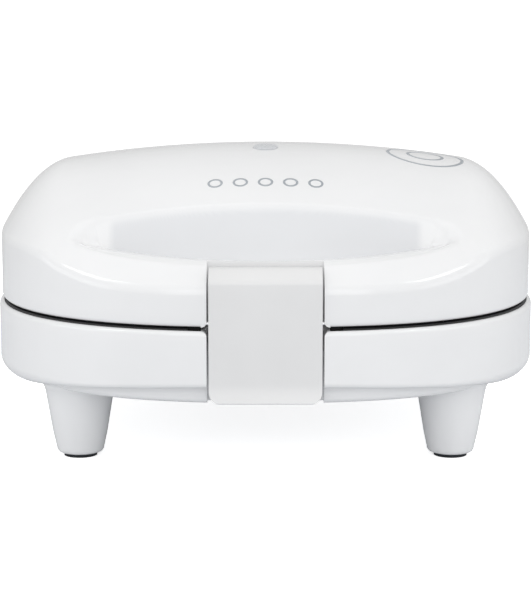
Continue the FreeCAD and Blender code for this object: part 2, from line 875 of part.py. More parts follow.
def hinge_pins():
    shank = rod_x(hinge_pin_radius, hinge_pin_inner_x, ear_outer_x, hinge_y, 0)
    head_end = ear_outer_x + hinge_head_thick
    head = rod_x(hinge_pin_radius + hinge_head_proud, ear_outer_x, head_end, hinge_y, 0)
    return both_sides(shank.fuse(head).removeSplitter())


def hinge_cable():
    """Sleeved lead that crosses the hinge between the two lid knuckles."""
    path = [V(0, 203, -cable_level), V(0, 213.5, -cable_level), V(0, 217.5, 0),
            V(0, 213.5, cable_level), V(0, 200, cable_level)]
    return tube(path, [5.0, 9.0, 5.0], cable_radius)


def base_wires():
    """Insulated leads under the lower heat shield: block to cut-outs, heater and hinge."""
    near = block_front
    far = block_back
    bore = block_bore_z
    level = wire_level
    side = block_pitch
    tab_y = plate_y + heater_end_y + 10.5
    spade_z = -23.5
    leads = []
    leads.append(tube([V(-side, near, bore), V(-side, 160, bore), V(-54, 142, level),
                       V(-54, 122.1, spade_z)], [14, 14], wire_radius))
    leads.append(tube([V(-46, 122.1, spade_z), V(-46, 132, level), V(0, 140, level),
                       V(fuse_x, 148, level), V(fuse_x, 130.1, fuse_z)], [10, 16, 8], wire_radius))
    leads.append(tube([V(side, near, bore), V(12, 160, bore), V(48, 150, bore), V(48, 110, level),
                       V(fuse_x, 98, level), V(fuse_x, 117.9, fuse_z)], [8, 14, 12, 8], wire_radius))
    for x in (side, -side):
        leads.append(tube([V(x, far, bore), V(x, 196, bore), V(x, 200.5, -18), V(x, 196, -heater_level),
                           V(x, tab_y, -heater_level)], [4, 2.4, 2.2], wire_radius))
    leads.append(tube([V(0, far, bore), V(0, 199.5, bore), V(0, 199.5, -14), V(0, 201, -cable_level),
                       V(0, 203, -cable_level)], [3.5, 6, 1.5], wire_radius))
    return leads


def earth_tag():
    tag = box(56, 62, 112, 124, -20.2, -19.6)
    rivet = Part.makeCylinder(1.8, 1.0, V(59, 121, -21.2))
    return tag.fuse(rivet)


def latch_outline():
    """Section of the clip: lip at the foot, flat face, bend, and a top that leans back."""
    back = latch_face_y + latch_wall
    top_z = crown_height(0, latch_top_y) - latch_top_drop
    outer = [V(0, latch_lip_y, latch_foot_z), V(0, -1.4, -26.0), V(0, -0.75, -24.2),
             V(0, latch_face_y, -22.0), V(0, latch_face_y, latch_bend_z)]
    bend_mid = V(0, 0.75, 16.4)
    bend_end = V(0, 3.4, 18.6)
    top = V(0, latch_top_y, top_z)
    top_back = V(0, latch_top_y + 1.6, top_z - 2.2)
    inner = [V(0, 5.0, 16.2), V(0, back, 11.5), V(0, back, -22.6), V(0, latch_foot_back_y, latch_foot_z)]
    edges = Part.makePolygon(outer).Edges
    edges += [Part.Arc(outer[-1], bend_mid, bend_end).toShape()]
    edges += Part.makePolygon([bend_end, top, top_back] + inner + [outer[0]]).Edges
    return Part.Wire(Part.__sortEdges__(edges))


def latch_corner_cut(side):
    """What rounds off one lower corner of the clip."""
    edge_x = side * latch_half_width
    in_x = edge_x - side * latch_corner
    high = latch_foot_z + latch_corner
    square = box(min(edge_x, in_x), max(edge_x, in_x), -10, 10, latch_foot_z - 1, high)
    return square.cut(Part.makeCylinder(latch_corner, 30, V(in_x, -10, high), Y_AXIS))


def latch_tongue():
    """Hook behind the face that catches under the ledge of the base."""
    tip_y = base_notch_depth - 1.7
    top = latch_catch_z - 0.3
    hook = [V(0, hook_back_y, top - 5.2), V(0, hook_back_y, top), V(0, tip_y, top),
            V(0, tip_y, top - 1.3), V(0, tip_y - 2.5, top - 3.1)]
    hook.append(hook[0])
    tongue = Part.Face(Part.makePolygon(hook)).extrude(V(2 * hook_half_width, 0, 0))
    tongue.translate(V(-hook_half_width, 0, 0))
    return tongue


def latch_clip():
    """Rocker with a finger lip below, a hook behind and a hub round the pin."""
    body = Part.Face(latch_outline()).extrude(V(2 * latch_half_width, 0, 0))
    body.translate(V(-latch_half_width, 0, 0))
    body = body.cut([latch_corner_cut(1), latch_corner_cut(-1)])
    hub_end = latch_half_width - 0.2
    hubs = both_sides(rod_x(latch_hub_radius, spring_room_x, hub_end, latch_pin_y, latch_pin_z))
    body = body.fuse(hubs + [latch_tongue()])
    bore = rod_x(latch_pin_radius + 0.04, -30, 30, latch_pin_y, latch_pin_z)
    room = rod_x(latch_hub_radius, -spring_room_x, spring_room_x, latch_pin_y, latch_pin_z)
    groove_x = -spring_pitch * spring_turns / 2
    groove = box(groove_x - 0.6, groove_x + 0.6, 1.5, 3, 0, 9.5)
    return body.cut([bore, room, groove]).removeSplitter()


def latch_pin():
    reach = pin_boss_end - 1.2
    return rod_x(latch_pin_radius, -reach, reach, latch_pin_y, latch_pin_z)


def latch_spring():
    """Torsion spring wound on the pin: one leg up behind the clip, one back to the notch wall."""
    height = spring_pitch * spring_turns
    coil = Part.makeHelix(spring_pitch, height, spring_mean)
    section = Part.Wire(Part.makeCircle(spring_wire, V(spring_mean, 0, 0), Y_AXIS))
    winding = Part.Wire(coil.Edges).makePipeShell([section], True, True)
    clip_leg = rod(spring_wire, V(spring_mean, 0, 0), V(spring_mean, -7, 0))
    wall_leg = rod(spring_wire, V(0, spring_mean, height), V(-13.2, spring_mean, height))
    whole = winding.fuse([clip_leg, wall_leg])
    whole.rotate(V(0, 0, 0), Y_AXIS, 90)
    whole.rotate(V(0, 0, 0), X_AXIS, -90)
    whole.translate(V(-height / 2, latch_pin_y, latch_pin_z))
    return whole


def indicator_lens():
    """Frosted light guide with a flange under the crown."""
    points = [(0, -4.2), (6.6, -4.2), (6.6, -3.1), (lens_radius, -3.1), (lens_radius, 0.2),
              (lens_radius - 0.5, 0.7), (lens_radius - 2.2, 1.05), (0, 1.2)]
    return lean_forward(turned(points))


def lamp_holder():
    plate = box(-15, 15, lamp_y - 6, lamp_y + 6, holder_low, holder_high)
    cup = Part.makeCylinder(5.2, 6.8, V(0, lamp_y, holder_high))
    body = plate.fuse(cup)
    cuts = [Part.makeCylinder(3.1, 20, V(0, lamp_y, 45))]
    for side in (-1, 1):
        cuts.append(Part.makeCylinder(1.5, 10, V(holder_ear_x * side, lamp_y, 44)))
    return body.cut(cuts)


def lamp_holder_screws():
    return [screw(V(holder_ear_x * side, lamp_y, holder_low), 1, head_radius=2.4,
                  head_height=1.5, shank_radius=1.0, length=6.0) for side in (-1, 1)]


def indicator_lamp():
    points = [(0, 46), (3.0, 46), (3.0, 54), (2.1, 56), (0, 56.8)]
    return turned(points, V(0, lamp_y, 0))


def lid_wires():
    terminal = V(heater_exit_x, plate_y + heater_end_y + 10.5, heater_level)
    leads = []
    for side in (-1, 1):
        leads.append(tube([V(side * 1.2, 200, cable_level), V(side * 1.2, 197.6, cable_level),
                           V(terminal.x * side, 197.6, 16), V(terminal.x * side, 203, 22),
                           V(terminal.x * side, 203, heater_level),
                           V(terminal.x * side, terminal.y, heater_level)],
                          [1.2, 3, 3, 3], wire_radius))
    return leads


def lamp_wires():
    leads = []
    for side in (-1, 1):
        leads.append(tube([V(side * 1.4, lamp_y, 46), V(side * 1.4, lamp_y, 34),
                           V(side * 5, 130, 25), V(side * 5, 185, 25), V(side * 5, 201.5, 19)],
                          [10, 30, 12], lamp_wire_radius))
    return leads


def save(name, shape):
    solids = shape if isinstance(shape, list) else [shape]
    moved = []
    for solid in solids:
        for piece in solid.Solids:
            copy = piece.copy()
            copy.translate(V(0, -front_to_middle, floor_drop))
            moved.append(copy)
    whole = moved[0] if len(moved) == 1 else Part.makeCompound(moved)
    whole.exportStep("parts/" + name + ".step")
    print(name, len(moved), "solids", round(whole.Volume), "mm3", whole.isValid())


os.makedirs("parts", exist_ok=True)
save("base_housing", base_housing())
save("legs", legs())
save("leg_screws", leg_screws())
save("rubber_feet", [Part.makeCylinder(pad_radius, pad_proud + pad_sunk, V(x, y, -floor_drop))
                     for x, y in leg_places])
save("base_frame", base_frame())
save("base_frame_screws", frame_screws())
save("lower_plate", lower_plate())
save("lower_heater", lower_heater())
save("lower_heater_bushes", heater_bushes())
save("lower_heater_terminals", heater_terminals())
save("lower_heat_shield", lower_heat_shield())
save("lower_plate_screws", plate_screws())
save("thermostat", thermostat())
save("thermostat_screws", thermostat_screws())
save("thermal_fuse", thermal_fuse())
save("terminal_block", terminal_block())
save("terminal_screws", terminal_screws())
save("earth_tag", earth_tag())
save("base_wires", base_wires())
save("cord_gland", cord_gland())
save("hinge_pins", hinge_pins())
save("hinge_cable", hinge_cable())
save("lid_housing", lid_housing())
save("lid_frame", lid_frame())
save("lid_frame_screws", [mirror_up(piece) for piece in frame_screws()])
save("upper_plate", mirror_up(lower_plate()))
save("upper_heater", mirror_up(lower_heater()))
save("upper_heater_bushes", [mirror_up(piece) for piece in heater_bushes()])
save("upper_heater_terminals", [mirror_up(piece) for piece in heater_terminals()])
save("upper_heat_shield", upper_heat_shield())
save("upper_plate_screws", [mirror_up(piece) for piece in plate_screws()])
save("indicator_lens", indicator_lens())
save("indicator_lamp", indicator_lamp())
save("lamp_holder", lamp_holder())
save("lamp_holder_screws", lamp_holder_screws())
save("lid_wires", lid_wires())
save("lamp_wires", lamp_wires())
save("latch_pin", latch_pin())
save("latch_spring", latch_spring())
save("latch_clip", latch_clip())
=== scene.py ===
"""Looks of the donut maker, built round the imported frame.

Shapes are worked out in millimetres in the body's own coordinates: x across, y back
from the front of the lid, z above the plane where lid and base part. point() turns
them into metres in the row frame.
"""
import json
import math
import bmesh
import bpy
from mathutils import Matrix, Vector


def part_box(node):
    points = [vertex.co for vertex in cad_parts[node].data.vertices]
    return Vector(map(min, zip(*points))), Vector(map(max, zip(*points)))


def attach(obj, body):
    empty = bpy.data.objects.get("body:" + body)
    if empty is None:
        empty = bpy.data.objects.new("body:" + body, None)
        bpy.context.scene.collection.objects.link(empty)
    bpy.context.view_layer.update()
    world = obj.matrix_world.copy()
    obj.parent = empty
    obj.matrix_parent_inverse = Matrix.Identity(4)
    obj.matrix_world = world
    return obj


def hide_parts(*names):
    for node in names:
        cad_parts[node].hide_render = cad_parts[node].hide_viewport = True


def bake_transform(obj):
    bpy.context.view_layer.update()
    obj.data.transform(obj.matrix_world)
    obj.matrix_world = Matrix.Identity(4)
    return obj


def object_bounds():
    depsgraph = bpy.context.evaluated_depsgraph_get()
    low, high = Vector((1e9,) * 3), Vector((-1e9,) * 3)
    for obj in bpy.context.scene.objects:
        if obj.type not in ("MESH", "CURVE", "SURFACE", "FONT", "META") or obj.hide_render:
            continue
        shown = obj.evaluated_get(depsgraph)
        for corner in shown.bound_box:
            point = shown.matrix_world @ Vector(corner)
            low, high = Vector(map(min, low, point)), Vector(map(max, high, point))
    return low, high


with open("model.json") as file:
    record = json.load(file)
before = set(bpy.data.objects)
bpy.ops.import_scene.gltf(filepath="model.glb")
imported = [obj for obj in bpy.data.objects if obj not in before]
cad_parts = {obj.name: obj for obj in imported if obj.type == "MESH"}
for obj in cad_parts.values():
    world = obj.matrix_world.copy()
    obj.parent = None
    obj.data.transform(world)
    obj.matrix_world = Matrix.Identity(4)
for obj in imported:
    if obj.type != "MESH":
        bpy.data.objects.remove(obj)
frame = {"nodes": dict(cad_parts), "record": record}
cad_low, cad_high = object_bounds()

MM = 0.001

# Where the body's own coordinates lie in the frame.
part_z = (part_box("base_frame")[1].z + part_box("lid_frame")[0].z) / 2
hinge_y = 216.0
front_y = (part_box("hinge_pins")[0].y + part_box("hinge_pins")[1].y) / 2 - hinge_y * MM
half_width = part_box("lid_housing")[1].x / MM
half_depth = 106.0
plan_power = 2.4
half_gap = 0.75
edge_round = 1.8
rim_inset = 1.9
base_overhang = 1.3
base_bottom = -30.0
base_round = 6.5
lip_round = 2.2
lip_reach = 1.9
wall = 3.0
top_skin = 2.8
recess_skin = 2.2
rim_height = 3.6

# Crown of the lid.
crown_top = 63.4
fall_front = 0.0042
fall_rear = 0.0022
fall_side = 0.0009
fall_corner = 1.7e-7
shoulder_start = 85.0
shoulder_fall = 0.03
ridge_round = 6.0

# Grip recess.
grip_front = (146.5, 138.0)
grip_back = (1538.0, 1500.0)
grip_tip = 5.0
grip_crest = 24.4
grip_crest_rise = 0.0007
pocket_front = (146.5, 129.7)
pocket_tip = 5.0
pocket_back = grip_back[1] - 12
pocket_floor = 20.0
wall_steepness = 3.4
tip_steepness = 0.9
tip_start = 61.5
tip_blend = 12.0
pocket_end = 66.0

# Latch notch.
notch_half_width = 22.6
notch_flare = 2.0
lid_notch_depth = 15.0
base_notch_depth = 12.0

# Latch.
latch_half_width = 21.8
latch_face_y = -0.5
latch_foot = -28.75
latch_corner = 4.6
bend_start = 17.0
bend_radius = 3.2
latch_pin = (3.6, 1.9)

# Hinge.
hinge_radius = 6.0
hinge_clearance = 0.6
ear_span = (30.0, 40.0)
knuckle_span = (6.0, 29.7)

# Lamp and camera.
lamp_y = 92.0
camera_back = 0.716
camera_rise = 0.1258
camera_tilt = 9.06


def point(x, y, z):
    return Vector((x * MM, front_y + y * MM, part_z + z * MM))


# ---------------------------------------------------------------- meshes

def mesh_object(name, vertices, faces, material, smooth=True):
    mesh = bpy.data.meshes.new(name)
    mesh.from_pydata([tuple(v) for v in vertices], [], faces)
    mesh.validate()
    builder = bmesh.new()
    builder.from_mesh(mesh)
    bmesh.ops.recalc_face_normals(builder, faces=builder.faces)
    builder.to_mesh(mesh)
    builder.free()
    for face in mesh.polygons:
        face.use_smooth = smooth
    piece = bpy.data.objects.new(name, mesh)
    bpy.context.scene.collection.objects.link(piece)
    piece.data.materials.append(material)
    return piece


def ring_faces(rows, columns):
    """Quads between closed rings of points."""
    faces = []
    for row in range(rows - 1):
        for column in range(columns):
            after = (column + 1) % columns
            low = row * columns
            high = low + columns
            faces.append((low + column, low + after, high + after, high + column))
    return faces


def closed_rings(name, rings, material, start=None, end=None):
    """A closed skin through rings of equal length; start and end are the poles' points."""
    columns = len(rings[0])
    vertices = [v for ring in rings for v in ring]
    faces = ring_faces(len(rings), columns)
    for pole, base in ((start, 0), (end, (len(rings) - 1) * columns)):
        if pole is None:
            faces.append(tuple(range(base, base + columns)))
            continue
        vertices.append(pole)
        tip = len(vertices) - 1
        for column in range(columns):
            faces.append((base + column, base + (column + 1) % columns, tip))
    return mesh_object(name, vertices, faces, material)


def turned(name, profile, centre, material, segments=64, axis="z"):
    """A solid turned about an axis through centre; profile is (radius, height) in mm."""
    rings = []
    for radius, height in profile:
        ring = []
        for step in range(segments):
            angle = 2 * math.pi * step / segments
            a, b = radius * math.cos(angle), radius * math.sin(angle)
            offset = (a, b, height) if axis == "z" else (height, a, b)
            ring.append(point(*(c + o for c, o in zip(centre, offset))))
        rings.append(ring)
    return closed_rings(name, rings, material)


def block(name, low, high, material):
    corners = [point(x, y, z) for x in (low[0], high[0]) for y in (low[1], high[1])
               for z in (low[2], high[2])]
    faces = [(0, 1, 3, 2), (4, 6, 7, 5), (0, 4, 5, 1), (2, 3, 7, 6), (0, 2, 6, 4), (1, 5, 7, 3)]
    return mesh_object(name, corners, faces, material, smooth=False)


def prism(name, first, last, material):
    """A solid between two outlines with the same number of points."""
    count = len(first)
    faces = [tuple(range(count)), tuple(range(2 * count - 1, count - 1, -1))]
    for index in range(count):
        after = (index + 1) % count
        faces.append((index, after, count + after, count + index))
    return mesh_object(name, first + last, faces, material, smooth=False)


def extruded(name, outline, x0, x1, material):
    """An outline of (y, z) pairs pulled along x."""
    first, last = ([point(x, y, z) for y, z in outline] for x in (x0, x1))
    return prism(name, first, last, material)


def pulled_back(name, outline, y0, y1, material):
    """An outline of (x, z) pairs pulled along y."""
    first, last = ([point(x, y, z) for x, z in outline] for y in (y0, y1))
    return prism(name, first, last, material)


def apply_modifiers(piece):
    depsgraph = bpy.context.evaluated_depsgraph_get()
    mesh = bpy.data.meshes.new_from_object(piece.evaluated_get(depsgraph))
    piece.modifiers.clear()
    old = piece.data
    piece.data = mesh
    bpy.data.meshes.remove(old)
    return piece


def combine(piece, other, operation):
    """piece with other added or taken away; other is used up."""
    bpy.context.view_layer.update()
    modifier = piece.modifiers.new("join", "BOOLEAN")
    modifier.operation = operation
    modifier.solver = "EXACT"
    modifier.object = other
    apply_modifiers(piece)
    bpy.data.objects.remove(other)
    return piece


def soften(piece, width, angle):
    """Rounds the edges that are sharper than angle."""
    modifier = piece.modifiers.new("bevel", "BEVEL")
    modifier.width = width * MM
    modifier.segments = 3
    modifier.limit_method = "ANGLE"
    modifier.angle_limit = math.radians(angle)
    apply_modifiers(piece)
    for face in piece.data.polygons:
        face.use_smooth = True
    return piece


def shade_by_angle(piece, angle=38):
    """Smooth shading that keeps edges sharper than angle."""
    builder = bmesh.new()
    builder.from_mesh(piece.data)
    limit = math.radians(angle)
    for edge in builder.edges:
        if len(edge.link_faces) == 2:
            edge.smooth = edge.calc_face_angle(0) < limit
    for face in builder.faces:
        face.smooth = True
    builder.to_mesh(piece.data)
    builder.free()


# ---------------------------------------------------------------- shapes of the lid

def plan_reach(angle, width=half_width, depth=half_depth):
    across = (abs(math.cos(angle)) / width) ** plan_power
    along = (abs(math.sin(angle)) / depth) ** plan_power
    return (across + along) ** (-1 / plan_power)


def crown(x, y):
    forward = half_depth - y
    fall = fall_front if forward > 0 else fall_rear
    corner = fall_corner if forward > 0 else 0.0
    shoulder = max(0.0, abs(x) - shoulder_start)
    drop = fall * forward ** 2 + fall_side * x ** 2 + corner * x ** 2 * forward ** 2
    return crown_top - drop - shoulder_fall * shoulder ** 2


def soft_min(a, b, width):
    overlap = max(width - abs(a - b), 0.0) / width
    return min(a, b) - overlap ** 2 * width / 4


def soft_max(a, b, width):
    return -soft_min(-a, -b, width)


def crescent_depth(x, y, front, back, tip):
    """How far a point lies inside the crescent between two arcs with rounded tips."""
    x = abs(x)
    from_front = front[1] - math.hypot(x, y - front[0])
    from_back = math.hypot(x, y - back[0]) - back[1]
    inner = front[1] - tip
    outer = back[1] + tip
    squares = front[0] ** 2 - back[0] ** 2 - inner ** 2 + outer ** 2
    tip_y = squares / (2 * (front[0] - back[0]))
    tip_x = math.sqrt(inner ** 2 - (tip_y - front[0]) ** 2)
    away = (x - tip_x, y - tip_y)
    along_front = away[0] * (front[0] - tip_y) + away[1] * tip_x
    along_back = away[0] * (back[0] - tip_y) + away[1] * tip_x
    if along_front > 0 and along_back > 0:
        return tip - math.hypot(*away)
    return min(from_front, from_back)


def lid_top(x, y):
    """Height of the lid's outer surface, with the grip recess let into the crown."""
    high = crown(x, y)
    if y > 60 or abs(x) > 90:
        return high
    crest = grip_crest + grip_crest_rise * x ** 2
    inside = crescent_depth(x, y, grip_front, grip_back, grip_tip)
    if inside < -12:
        return high
    beyond = min(max((abs(x) - tip_start) / tip_blend, 0.0), 1.0)
    steepness = wall_steepness + (tip_steepness - wall_steepness) * beyond
    ramp = high - steepness * inside
    scoop = soft_max(crest, ramp, 3.0)
    pocket_inside = crescent_depth(x, y, pocket_front, (grip_back[0], pocket_back), pocket_tip)
    pocket_inside = min(pocket_inside, pocket_end - abs(x))
    pocket_ramp = max(ramp, crest - wall_steepness * pocket_inside)
    pocket = soft_max(pocket_floor, pocket_ramp, 5.0)
    recess = soft_min(scoop, pocket, 3.0)
    return soft_min(high, recess, 1.2 + 0.55 * steepness)


def column_angles():
    """Directions of the lid's columns, close together over the grip recess at the front."""
    half = []
    turn = 0.0
    while turn < 179:
        half.append(turn)
        turn += 0.45 if turn < 50 else 2.6
    return [math.radians(turn - 90) for turn in [-t for t in reversed(half[1:])] + half]


def plan_ring(angles, inset, z, overhang=0.0):
    width = half_width + overhang - inset
    depth = half_depth + overhang - inset
    ring = []
    for angle in angles:
        reach = plan_reach(angle, width, depth)
        ring.append(point(reach * math.cos(angle), half_depth + reach * math.sin(angle), z))
    return ring


def crown_share():
    """Where the rings of the crown lie, as shares of the way from its middle to the ridge."""
    shares = [0.08 * step for step in range(1, 7)]
    while shares[-1] < 0.965:
        shares.append(shares[-1] + (0.0045 if shares[-1] > 0.57 else 0.05))
    return shares + [0.985, 1.0]


def ridge_profile(angle):
    """(reach, height) pairs that round the crown over into the wall at one direction."""
    reach = plan_reach(angle)
    step = 1.0
    place = lambda r: (r * math.cos(angle), half_depth + r * math.sin(angle))
    fall = math.atan((crown(*place(reach - step)) - crown(*place(reach))) / step)
    run = ridge_round * math.tan((math.pi / 2 - fall) / 2)
    start = reach - run * math.cos(fall)
    start_high = crown(*place(start))
    corner = start_high - (reach - start) * math.tan(fall)
    end_high = corner - run
    profile = []
    segments = 9
    for index in range(segments + 1):
        t = index / segments
        ease = (2 * t ** 3 - 3 * t ** 2 + 1, t ** 3 - 2 * t ** 2 + t,
                -2 * t ** 3 + 3 * t ** 2, t ** 3 - t ** 2)
        pull = 1.6 * run
        r = ease[0] * start + ease[1] * pull * math.cos(fall) + ease[2] * reach
        z = ease[0] * start_high - ease[1] * pull * math.sin(fall) + ease[2] * end_high
        profile.append((r, z - ease[3] * pull))
    return profile


def lid_rings():
    angles = column_angles()
    profiles = [ridge_profile(angle) for angle in angles]
    rings = []
    for share in crown_share():
        ring = []
        for angle, profile in zip(angles, profiles):
            reach = share * profile[0][0]
            x, y = reach * math.cos(angle), half_depth + reach * math.sin(angle)
            ring.append(point(x, y, lid_top(x, y)))
        rings.append(ring)
    for index in range(1, len(profiles[0])):
        ring = []
        for angle, profile in zip(angles, profiles):
            reach, high = profile[index]
            ring.append(point(reach * math.cos(angle), half_depth + reach * math.sin(angle), high))
        rings.append(ring)
    lowest = half_gap + edge_round
    for share in (0.35, 0.7):
        ring = []
        for angle, profile in zip(angles, profiles):
            reach, high = profile[-1]
            level = high + (lowest - high) * share
            ring.append(point(reach * math.cos(angle), half_depth + reach * math.sin(angle), level))
        rings.append(ring)
    for step in range(5):
        turn = math.radians(22.5 * step)
        inset = edge_round * (1 - math.cos(turn))
        rings.append(plan_ring(angles, inset, lowest - edge_round * math.sin(turn)))
    rings.append(plan_ring(angles, rim_inset, half_gap))
    rings.append(plan_ring(angles, rim_inset, rim_height))
    rings.append(plan_ring(angles, wall, rim_height))
    return rings, angles


def inner_top(x, y):
    """Underside of the lid's skin, kept clear of the grip pocket and the latch notch."""
    high = crown(x, y) - top_skin
    if y < 60 and abs(x) < 90:
        inside = crescent_depth(x, y, (grip_front[0], grip_front[1] + recess_skin),
                                (grip_back[0], grip_back[1] - recess_skin), grip_tip + recess_skin)
        crest = grip_crest + grip_crest_rise * x ** 2 - recess_skin
        pocket = crescent_depth(x, y, (pocket_front[0], pocket_front[1] + recess_skin),
                                (grip_back[0], pocket_back - 2), pocket_tip + recess_skin)
        ramp = high - wall_steepness * inside
        scoop = max(crest, ramp)
        well = max(pocket_floor - recess_skin, ramp, crest - wall_steepness * pocket)
        high = min(high, scoop, well)
    beside = max(abs(x) - notch_half_width - recess_skin, y - lid_notch_depth - recess_skin)
    return max(4.5, min(high, 4.5 + wall_steepness * beside))


def lid_shell(material):
    rings, angles = lid_rings()
    shares = [0.995, 0.97] + [0.95 - 0.022 * step for step in range(18)] + [0.45, 0.3, 0.12]
    for share in shares:
        ring = []
        for angle in angles:
            reach = share * plan_reach(angle, half_width - wall, half_depth - wall)
            x, y = reach * math.cos(angle), half_depth + reach * math.sin(angle)
            ring.append(point(x, y, inner_top(x, y)))
        rings.append(ring)
    summit = point(0, half_depth, crown_top)
    under = point(0, half_depth, crown_top - top_skin)
    return closed_rings("lid_shell", rings, material, summit, under)


def notch_cutter(edge_z, far_z, depth, material):
    """Latch notch, flared where it meets the parting gap."""
    sign = 1 if far_z > edge_z else -1
    side = [(notch_half_width, far_z)]
    for step in range(7):
        turn = math.radians(15 * step)
        side.append((notch_half_width + notch_flare * (1 - math.cos(turn)),
                     edge_z + sign * notch_flare * (1 - math.sin(turn))))
    side.append((notch_half_width + notch_flare, edge_z - sign * 6))
    outline = side + [(-x, z) for x, z in reversed(side)]
    return pulled_back("notch_cutter", outline, -12, depth, material)


# ---------------------------------------------------------------- shapes of the base

crease_z = -22.3
crease_radius = 756.0
belly_inset = 4.2 + base_overhang
belly_round = 3.0


def base_profile(angle):
    """(inset, height) pairs down the base's wall at one direction."""
    reach = plan_reach(angle)
    x = reach * math.cos(angle)
    profile = []
    for step in range(5):
        turn = math.radians(90 - 22.5 * step)
        profile.append((edge_round * (1 - math.cos(turn)),
                        -half_gap - edge_round * (1 - math.sin(turn))))
    start = base_bottom + base_round
    fade = base_round - belly_inset
    belly_z = start - math.sqrt(base_round ** 2 - fade ** 2)
    crease = crease_z - x * x / (2 * crease_radius)
    in_front = math.sin(angle) < 0 and crease > belly_z
    crease = crease if in_front else belly_z
    lip = min(1.0, (crease - belly_z) / 3) if in_front else 0.0

    def wall_inset(z):
        below = max(start - z, 0.0)
        near = min(max(crease + lip_reach - z, 0.0), lip_reach)
        corner = base_round - math.sqrt(max(base_round ** 2 - below ** 2, 0.0))
        return corner + lip * (lip_round - math.sqrt(lip_round ** 2 - near ** 2))

    upper = max(start, crease + 2.0)
    profile += [(0.0, -8.0), (0.0, upper)]
    for step in range(1, 9):
        z = upper + (crease - upper) * step / 8
        profile.append((wall_inset(z), z))
    edge_inset = wall_inset(crease)
    for share in (0.12, 0.5, 0.88, 1.0):
        profile.append((edge_inset + (belly_inset - edge_inset) * share,
                        crease - 0.02 - 0.1 * share))
    ground = base_bottom + (belly_round if in_front else 0.0)
    lowest = profile[-1][1]
    if in_front:
        profile.append((belly_inset, min(lowest - 0.1, (lowest + ground) / 2)))
        for step in range(1, 6):
            turn = math.radians(18 * step)
            z = min(lowest - 0.2 * step, ground - belly_round * math.sin(turn))
            profile.append((belly_inset + belly_round * (1 - math.cos(turn)), z))
    else:
        first = math.asin(min((start - lowest) / base_round, 1.0))
        for step in range(1, 7):
            turn = first + (math.pi / 2 - first) * step / 6
            profile.append((base_round * (1 - math.cos(turn)), start - base_round * math.sin(turn)))
    return profile


def base_shell(material):
    angles = column_angles()
    profiles = [base_profile(angle) for angle in angles]
    rings = [plan_ring(angles, 20.0, -26.8, base_overhang),
             plan_ring(angles, 6.0, -20.0, base_overhang),
             plan_ring(angles, 3.6, -14.0, base_overhang),
             plan_ring(angles, 3.3, -rim_height, base_overhang),
             plan_ring(angles, rim_inset, -rim_height, base_overhang),
             plan_ring(angles, rim_inset, -half_gap, base_overhang)]
    for index in range(len(profiles[0])):
        ring = []
        for angle, profile in zip(angles, profiles):
            inset, z = profile[index]
            reach = plan_reach(angle, half_width + base_overhang - inset,
                               half_depth + base_overhang - inset)
            ring.append(point(reach * math.cos(angle), half_depth + reach * math.sin(angle), z))
        rings.append(ring)
    for inset in (24.0, 60.0):
        rings.append(plan_ring(angles, inset, base_bottom, base_overhang))
    start = point(0, half_depth, -27.4)
    end = point(0, half_depth, base_bottom)
    return closed_rings("base_shell", rings, material, start, end)


leg_places = [(75.7, 45.0), (-75.7, 45.0), (68.0, 178.0), (-68.0, 178.0)]


def leg_profile():
    """Outline of a tapered leg with a rounded end and a flared root."""
    floor = (cad_low.z - part_z) / MM
    low = floor + 1.5
    profile = [(0.0, low + 1.4), (6.8, low + 1.4), (6.8, low + 0.1), (7.0, low)]
    for step in range(6):
        turn = math.radians(18 * step)
        profile.append((7.65 + 2.0 * math.sin(turn), low + 2.0 * (1 - math.cos(turn))))
    slope = (14.3 - 9.65) / (base_bottom - low)
    for share in (0.3, 0.6, 0.88):
        z = low + (base_bottom - low) * share
        profile.append((9.65 + slope * (z - low), z))
    for step in range(1, 5):
        share = step / 4
        z = low + (base_bottom - low) * (0.88 + 0.12 * share) + 0.3 * share
        profile.append((9.65 + slope * (z - low) + 0.5 * share ** 2.5, z))
    profile += [(14.8, base_bottom + 3.0), (0.0, base_bottom + 3.0)]
    return profile


# ---------------------------------------------------------------- latch

def latch_outline():
    """Section of the clip: finger lip at the foot, flat face, and a top that leans back."""
    outer = []
    for step in range(9):
        share = step / 8
        outer.append((latch_face_y - 1.9 * (1 - share) ** 2.2, -28.3 + 7.6 * share))
    outer += [(latch_face_y, z) for z in (-12.0, 0.0, 10.5, bend_start)]
    for step in range(1, 9):
        bend = math.radians(6.5 * step)
        outer.append((latch_face_y + bend_radius * (1 - math.cos(bend)),
                      bend_start + bend_radius * math.sin(bend)))
    outer += [(4.3, 22.4), (5.2, 22.9), (6.3, 23.1), (9.1, 23.1), (9.8, 22.6), (10.6, 21.2)]
    inner = [(5.0, 16.2), (2.1, 11.5), (2.1, -20.0), (1.6, -24.0), (0.4, -28.0), (-0.4, -28.6),
             (-1.5, latch_foot), (-2.1, -28.6)]
    return outer + inner


def latch_body(material):
    clip = extruded("latch_face", latch_outline(), -latch_half_width, latch_half_width, material)
    for side in (-1, 1):
        edge = side * latch_half_width
        outline = [(edge + side * 2, -31.0), (edge - side * latch_corner, -31.0)]
        for step in range(9):
            turn = math.radians(90 / 8 * step)
            outline.append((edge - side * latch_corner * (1 - math.sin(turn)),
                            latch_foot + latch_corner * (1 - math.cos(turn))))
        outline.append((edge + side * 2, latch_foot + latch_corner))
        combine(clip, pulled_back("corner_cutter", outline, -8, 8, material), "DIFFERENCE")
    return soften(clip, 0.45, 40)


# ---------------------------------------------------------------- materials

def new_material(name):
    material = bpy.data.materials.new(name)
    material.use_nodes = True
    nodes = material.node_tree.nodes
    shader = nodes["Principled BSDF"]
    place = nodes.new("ShaderNodeTexCoord")
    return material, shader, place.outputs["Object"]


def link(material, out, into):
    material.node_tree.links.new(out, into)


